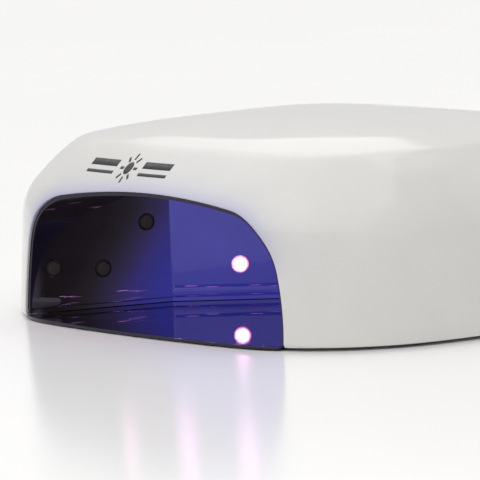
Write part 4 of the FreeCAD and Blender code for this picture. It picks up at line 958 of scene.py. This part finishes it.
def make_mark():
    """A plain sun sign between two pairs of bars, printed over the mouth."""
    verts, faces = [], []
    low, high = (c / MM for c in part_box("upper_housing"))
    middle_x = low.x + (high.x - low.x) * MARK_SHARE[0]
    middle_z = (high.z - low.z) * MARK_SHARE[1]

    def patch(points):
        start = len(verts)
        for u, v in points:
            x, z = middle_x + u, middle_z + v
            verts.append((x, front_y(x, z, -MARK_LIFT), z + LIFT))
        return start

    def strip(left, right):
        a, b = patch(left), patch(right)
        for k in range(len(left) - 1):
            faces.append((a + k, a + k + 1, b + k + 1, b + k))

    strip(*([(r * cos(a), r * sin(a)) for a in turns(0, 360, SUN_STEPS)] for r in SUN_RADII))
    for k in range(8):
        a = radians(45 * k)
        c, s = cos(a), sin(a)
        strip(*([(r * c - w * s, r * s + w * c) for r in RAY_RADII] for w in (-RAY_HALF, RAY_HALF)))
    for side in (-1, 1):
        us = np.linspace(*BAR_REACH, BAR_POINTS)
        for height, wide in BARS:
            strip([(side * u, height - wide) for u in us], [(side * u, height + wide) for u in us])
    mark = mesh_object("printed_mark", verts, faces, 60)
    thick = mark.modifiers.new("thickness", "SOLIDIFY")
    thick.thickness = MARK_THICKNESS * MM
    thick.offset = 1
    return apply_modifiers(mark)


SPILL_TOP, SPILL_REAR, SPILL_SKIN = 82, -60, 1.5
SPILL_STRENGTH, SPILL_REACH, SPILL_FALL = 0.7, 4.5, 1.1
SPILL_FROM, SPILL_RISE = 28, 24  # the height over the foot where it starts, and over which it grows
FRONT_Y_TOP = 80  # front_y is defined up to this height


def mark_painted_light_spill(shell):
    """Note on each point how much painted violet light from the mouth it takes, by its distance from the
    mouth and its height.
    """
    edge = np.array(arch_half(0.0) + [(-x, z) for x, z in arch_half(0.0)])
    layer = shell.data.attributes.new("painted_light_spill", "FLOAT", "POINT")
    for v in shell.data.vertices:
        x, y, z = (c / MM for c in v.co)
        height = z - LIFT
        if z > SPILL_TOP or y > SPILL_REAR or y > front_y(x, min(max(height, 0), FRONT_Y_TOP)) + SPILL_SKIN:
            continue
        gap = float(np.min(np.hypot(edge[:, 0] - x, edge[:, 1] - height)))
        level = min(max((height - SPILL_FROM) / SPILL_RISE, 0), 1)
        layer.data[v.index].value = SPILL_STRENGTH * exp(-(gap / SPILL_REACH) ** SPILL_FALL) * level


# -------- finishes

def pearl_shell():
    """Glossy pearl lacquer, with violet light spilling from the lit mouth painted into its colour."""
    made = Look("pearl_shell", colour(200, 199, 196), 0.3, Coat_Weight=1.0, Coat_Roughness=0.04, Coat_IOR=1.5)
    wander = made.span(made.noise(16), *NARROW_NOISE_SPAN)
    pearl = made.mix(wander, colour(202, 201, 198), colour(197, 196, 194))
    # painted light: the violet spill from the lit mouth, mixed into the lacquer's colour
    painted_light_spill = made.node("Attribute", attribute_name="painted_light_spill").outputs["Fac"]
    made.set("Base Color", made.mix(painted_light_spill, pearl, colour(136, 136, 184)))
    made.rough(0.28, 0.34, 12)
    return made


def mirror_liner():
    """A metal mirror with a smooth violet glow, painted by depth in the cavity, height and facing."""
    made = Look("mirror_liner", colour(56, 53, 62), 0.05, 1.0)
    _, y, z = made.node("SeparateXYZ", {0: made.coordinates}).outputs
    fold = FOLD[1]
    shift = made.span(z, 0.006, 0.046, start=0.015, end=-0.009, smooth_step=False)
    side = made.ramp(made.add(y, shift), MOUTH[1] * MM, (fold + 12) * MM, [
        (-0.108, colour(15, 11, 14)), (-0.080, colour(24, 20, 23)), (-0.068, colour(34, 30, 36)),
        (-0.057, colour(46, 40, 70)), (-0.048, colour(50, 45, 108)), (-0.035, colour(48, 48, 132))])
    deep = made.mix(made.span(made.noise(36, 2.0), *NOISE_SPAN), colour(42, 42, 132), colour(50, 48, 144))
    light = made.mix(made.span(y, (fold - 0.5) * MM, (fold + 0.5) * MM), side, deep)
    roof = made.span(made.upward(), -0.35, -0.6)
    roof_light = made.mix(made.span(y, -0.07, -0.01), colour(20, 16, 20), colour(44, 42, 132))
    made.set("Emission Color", made.mix(roof, light, roof_light))
    made.set("Emission Strength", 1.0)
    made.rough(0.03, 0.08, 140)
    made.bump(made.noise(24, 1.0), 0.06, 0.0006)
    return made


def mirror_tray():
    """Mirror sheet, with painted shade on its edge and underside: darker violet-grey wherever a face doesn't
    point up.
    """
    face = colour(160, 158, 172)
    made = Look("mirror_tray", face, 0.03, 1.0)
    made.rough(0.015, 0.05, 90)
    # painted shade: faces that don't point up are darkened
    made.set("Base Color", made.mix(made.span(made.upward(), 0.97, 0.9), face, colour(58, 54, 70)))
    made.bump(made.noise(45, 1.0), 0.03, 0.0003)
    return made


def glowing_lens(name, base, core, edge, strength):
    """A lens that glows from its core to a dimmer edge."""
    made = Look(name, base, 0.08, Coat_Weight=0.6, Coat_Roughness=0.05)
    radial = made.node("Attribute", attribute_name="radial").outputs["Fac"]
    wobble = made.add(radial, made.span(made.noise(700, 1.0), *NOISE_SPAN, -0.04, 0.04))
    made.set("Emission Color", made.mix(made.span(wobble, 0.60, 0.92), core, edge))
    made.set("Emission Strength", made.span(wobble, 0.62, 1.0, strength, strength * 0.1))
    return made


def plastic(name, base, other, roughness, scale, grain, strength):
    base, other = colour(*base), colour(*other)
    made = Look(name, base, roughness)
    made.vary(base, other, scale)
    made.rough(roughness - 0.08, roughness + 0.08, scale)
    made.grain(grain, strength)
    return made


def metal(name, base, other, roughness, stretch=None, strength=0.08, scale=300):
    base, other = colour(*base), colour(*other)
    made = Look(name, base, roughness, 1.0)
    made.vary(base, other, scale / 4)
    made.rough(roughness - 0.1, roughness + 0.1, scale / 3, stretch=stretch)
    made.grain(scale, strength, stretch=stretch)
    return made


def board_green():
    green = colour(24, 92, 52)
    made = Look("board_green", green, 0.35, Coat_Weight=0.5, Coat_Roughness=0.15)
    tracks = made.node("TexBrick", {"Vector": made.coordinates, "Scale": 220.0, "Mortar Size": 0.03,
                                    "Color1": green, "Color2": colour(20, 82, 46),
                                    "Mortar": colour(52, 128, 76)})
    made.set("Base Color", tracks.outputs["Color"])
    made.bump(tracks.outputs["Fac"], 0.15, 0.0001)
    return made


def light_pipe():
    made = Look("light_pipe_clear", colour(236, 240, 244), 0.12, Transmission_Weight=0.6, IOR=1.49)
    made.rough(0.06, 0.18, 400)
    made.set("Emission Color", made.mix(made.noise(500), colour(120, 150, 250), colour(150, 170, 255)))
    made.set("Emission Strength", 0.25)
    return made


# colour, other colour, roughness, size of the changes, size and strength of the grain
PLASTICS = {
    "frame_plastic": ((208, 207, 205), (198, 197, 195), 0.5, 40, 1200, 0.2),
    "pad_rubber": ((34, 34, 36), (26, 26, 28), 0.7, 80, 1500, 0.35),
    "component_black": ((30, 30, 32), (44, 44, 46), 0.5, 200, 1400, 0.2),
    "capacitor_sleeve": ((28, 38, 70), (20, 28, 56), 0.35, 120, 900, 0.1),
    "connector_white": ((226, 222, 208), (214, 210, 196), 0.45, 60, 900, 0.1),
    "button_plastic": ((196, 198, 202), (186, 188, 193), 0.3, 90, 1500, 0.08),
    "plunger_black": ((40, 40, 44), (28, 28, 30), 0.4, 60, 900, 0.1),
    "switch_black": ((28, 28, 30), (20, 20, 22), 0.38, 90, 1300, 0.25),
    "wire_red": ((170, 26, 30), (150, 18, 24), 0.4, 150, 700, 0.08),
    "mark_print": ((38, 36, 40), (30, 28, 32), 0.35, 300, 900, 0.05),
    "emitter_yellow": ((226, 196, 60), (236, 212, 96), 0.4, 600, 1800, 0.1),
}
# colour, other colour, roughness, stretch of the brushing, its strength and size
METALS = {
    "magnet_plating": ((180, 178, 172), (160, 158, 154), 0.25),
    "screw_steel": ((150, 150, 152), (120, 120, 124), 0.35, None, 0.15, 900),
    "lamp_board_metal": ((200, 200, 204), (180, 180, 186), 0.4, (1, 1, 12)),
    "heat_sink_metal": ((172, 174, 178), (150, 152, 158), 0.42, (1, 14, 1)),
    "contact_brass": ((206, 170, 96), (178, 140, 70), 0.25),
}
LOOKS = {"pearl_shell": pearl_shell(), "mirror_liner": mirror_liner(), "mirror_tray": mirror_tray(),
         "board_green": board_green(), "light_pipe_clear": light_pipe()}
LOOKS.update({slot: plastic(slot, *row) for slot, row in PLASTICS.items()})
LOOKS.update({slot: metal(slot, *row) for slot, row in METALS.items()})
FINISH = {slot: made.material for slot, made in LOOKS.items()}
LIT_LENS = (colour(230, 220, 240), (0.90, 0.46, 0.82, 1), (0.9, 0.16, 0.50, 1))  # base, core and edge
BRIGHT = glowing_lens("lens_lit", *LIT_LENS, 7.0)
ROOF_LIT = glowing_lens("lens_roof", *LIT_LENS, 26.0)
DIM = glowing_lens("lens_side", colour(12, 11, 11), colour(33, 30, 29), colour(20, 17, 19), 1.0)
DIM.set("Coat Weight", 0.0)
DIM.set("Roughness", 0.5)
DIM.set("Specular IOR Level", 0.15)


# -------- stage, light and camera

FLOOR_REACH = 5000
IMAGE_PX, SENSOR_MM = 480, 36
FOCAL_PX, CENTRE_PX = 4277.1, 377.33
CAMERA_TURN, CAMERA_PITCH, CAMERA_ROLL = 46.689, 7.0375, -1.837  # degrees
CAMERA_PLACE = (1.4328, -1.3206, 0.2701)
ROOM_LEVEL, ROOM_SLANT = 0.84, (0.06, -0.10, 0.0)
SOFTBOX_EDGE, SOFTBOX_GAIN = (0.555, 0.736, -0.389), 0.56
FLARE_TOWARD, FLARE_SPAN, FLARE_GAIN = (-0.05, 0.46, 0.887), (0.975, 0.995), 0.5
STRIPS = ((129.5, 0.02, -0.35, 0.6, 0.3), (78, 0.03, 0.1, 0.6, 0.22))  # azimuth, half width, z span, gain
STRIP_FADE = 0.15


def make_stage():
    """A plain pale floor with a soft gloss."""
    r = FLOOR_REACH
    floor = mesh_object("floor", [(-r, -r, 0), (r, -r, 0), (r, r, 0), (-r, r, 0)], [(0, 1, 2, 3)])
    made = Look("pale_floor", colour(250, 250, 250), 0.17, IOR=1.5)
    made.vary(colour(251, 251, 251), colour(249, 249, 250), 3.0)
    floor.data.materials.append(made.material)
    if floor.data.polygons[0].normal.z < 0:
        floor.data.flip_normals()


def make_lights():
    """A pale room with one large overhead softbox, a small bright patch and two soft strips, whose edges
    show in the gloss of the shell."""
    world = bpy.data.worlds.new("studio")
    world.use_nodes = True
    made = Tree(world.node_tree)
    toward = made.nodes.new("ShaderNodeTexCoord").outputs["Generated"]
    x, _, z = made.node("SeparateXYZ", {0: toward}).outputs
    softbox = made.times(made.span(made.dot(toward, SOFTBOX_EDGE), 0.012, -0.012), made.span(z, 0.325, 0.345),
                         made.span(x, -0.79, -0.742, 0.1, 1.0))
    flare = made.span(made.dot(toward, FLARE_TOWARD), *FLARE_SPAN)
    level = made.add(ROOM_LEVEL, made.dot(toward, ROOM_SLANT), made.times(softbox, SOFTBOX_GAIN),
                     made.times(flare, FLARE_GAIN))
    for azimuth, half, low, high, gain in STRIPS:
        a = radians(azimuth)
        off = made.math("ABSOLUTE", made.dot(toward, (cos(a), -sin(a), 0)))
        strip = made.times(made.span(off, half * 1.6, half * 0.6), made.span(z, low, low + STRIP_FADE),
                           made.span(z, high, high - STRIP_FADE))
        facing = made.span(made.dot(toward, (sin(a), cos(a), 0)), 0.0, 0.1)
        level = made.add(level, made.times(strip, facing, gain))
    background = made.nodes["Background"]
    background.inputs["Color"].default_value = (1.0, 0.995, 0.985, 1)
    made.feed(background.inputs["Strength"], level)
    bpy.context.scene.world = world


def make_camera():
    """The photograph's camera. The photo is cropped, so it is turned to bring the crop's middle in line."""
    azimuth, pitch, roll = (radians(a) for a in (CAMERA_TURN, CAMERA_PITCH, CAMERA_ROLL))
    right = Vector((cos(azimuth), sin(azimuth), 0))
    ahead = Vector((-sin(azimuth) * cos(pitch), cos(azimuth) * cos(pitch), -sin(pitch)))
    up = right.cross(ahead)
    right, up = right * cos(roll) + up * sin(roll), up * cos(roll) - right * sin(roll)
    ahead = (ahead + right * (IMAGE_PX / 2 - CENTRE_PX) / FOCAL_PX).normalized()
    right = ahead.cross(up).normalized()
    up = right.cross(ahead)
    data = bpy.data.cameras.new("camera")
    data.lens = FOCAL_PX / IMAGE_PX * SENSOR_MM
    data.sensor_width = SENSOR_MM
    data.clip_start, data.clip_end = 0.05, 50
    camera = bpy.data.objects.new("camera", data)
    turn = Matrix((right, up, -ahead)).transposed()
    camera.matrix_world = Matrix.Translation(CAMERA_PLACE) @ turn.to_4x4()
    bpy.context.scene.collection.objects.link(camera)
    bpy.context.scene.camera = camera


# -------- assembly

WELD_REACH = 0.00001
SOFTENED = {"base_frame": 0.3, "rubber_feet": 0.3, "power_switch_case": 0.35, "inlet_nut": 0.35,
            "inlet_barrel": 0.2, "inlet_centre_pin": 0.15, "timer_light_pipes": 0.12, "tray_pads": 0.12,
            "roof_heat_sink": 0.2, "power_inductors": 0.5, "board_connectors": 0.3, "power_capacitors": 0.5}


def finish_cad_nodes():
    """Give every carried-over CAD node its finish and a weld, and softly bevel those listed in SOFTENED."""
    slots = {row["node"]: row["material_slot"] for row in frame["record"]["subparts"]}
    for name, node in frame["nodes"].items():
        if node.hide_render:
            continue
        node.data.materials.clear()
        node.data.materials.append(FINISH[slots[name]])
        weld = node.modifiers.new("weld", "WELD")
        weld.merge_threshold = WELD_REACH
        if name in SOFTENED:
            bevel(node, SOFTENED[name], 2, 40)


make_stage()
make_lights()
make_camera()
housing = make_housing()
mark_painted_light_spill(housing)
place(housing, "lamp", "pearl_shell", "upper_housing")
place(make_mark(), "lamp", "component_black", finish=FINISH["mark_print"])
place(make_liner(), "lamp", "mirror_liner", "reflector_liner")
place(make_tray(), "tray", "mirror_tray", "base_tray")
for number in (1, 2, 3):
    place(make_button(number), f"timer_{number}", "button_plastic", f"timer_button_{number}")
place(make_rocker(), "rocker", "switch_black", "power_rocker")
for bank in ("left_side", "right_side", "left_corner", "right_corner", "rear", "roof"):
    glow = DIM if "side" in bank else ROOF_LIT if bank == "roof" else BRIGHT
    place(make_lens_bank(bank), "lamp", "lens_clear", f"{bank}_lenses", finish=glow.material)
finish_cad_nodes()
bpy.context.scene.view_settings.view_transform = "Standard"
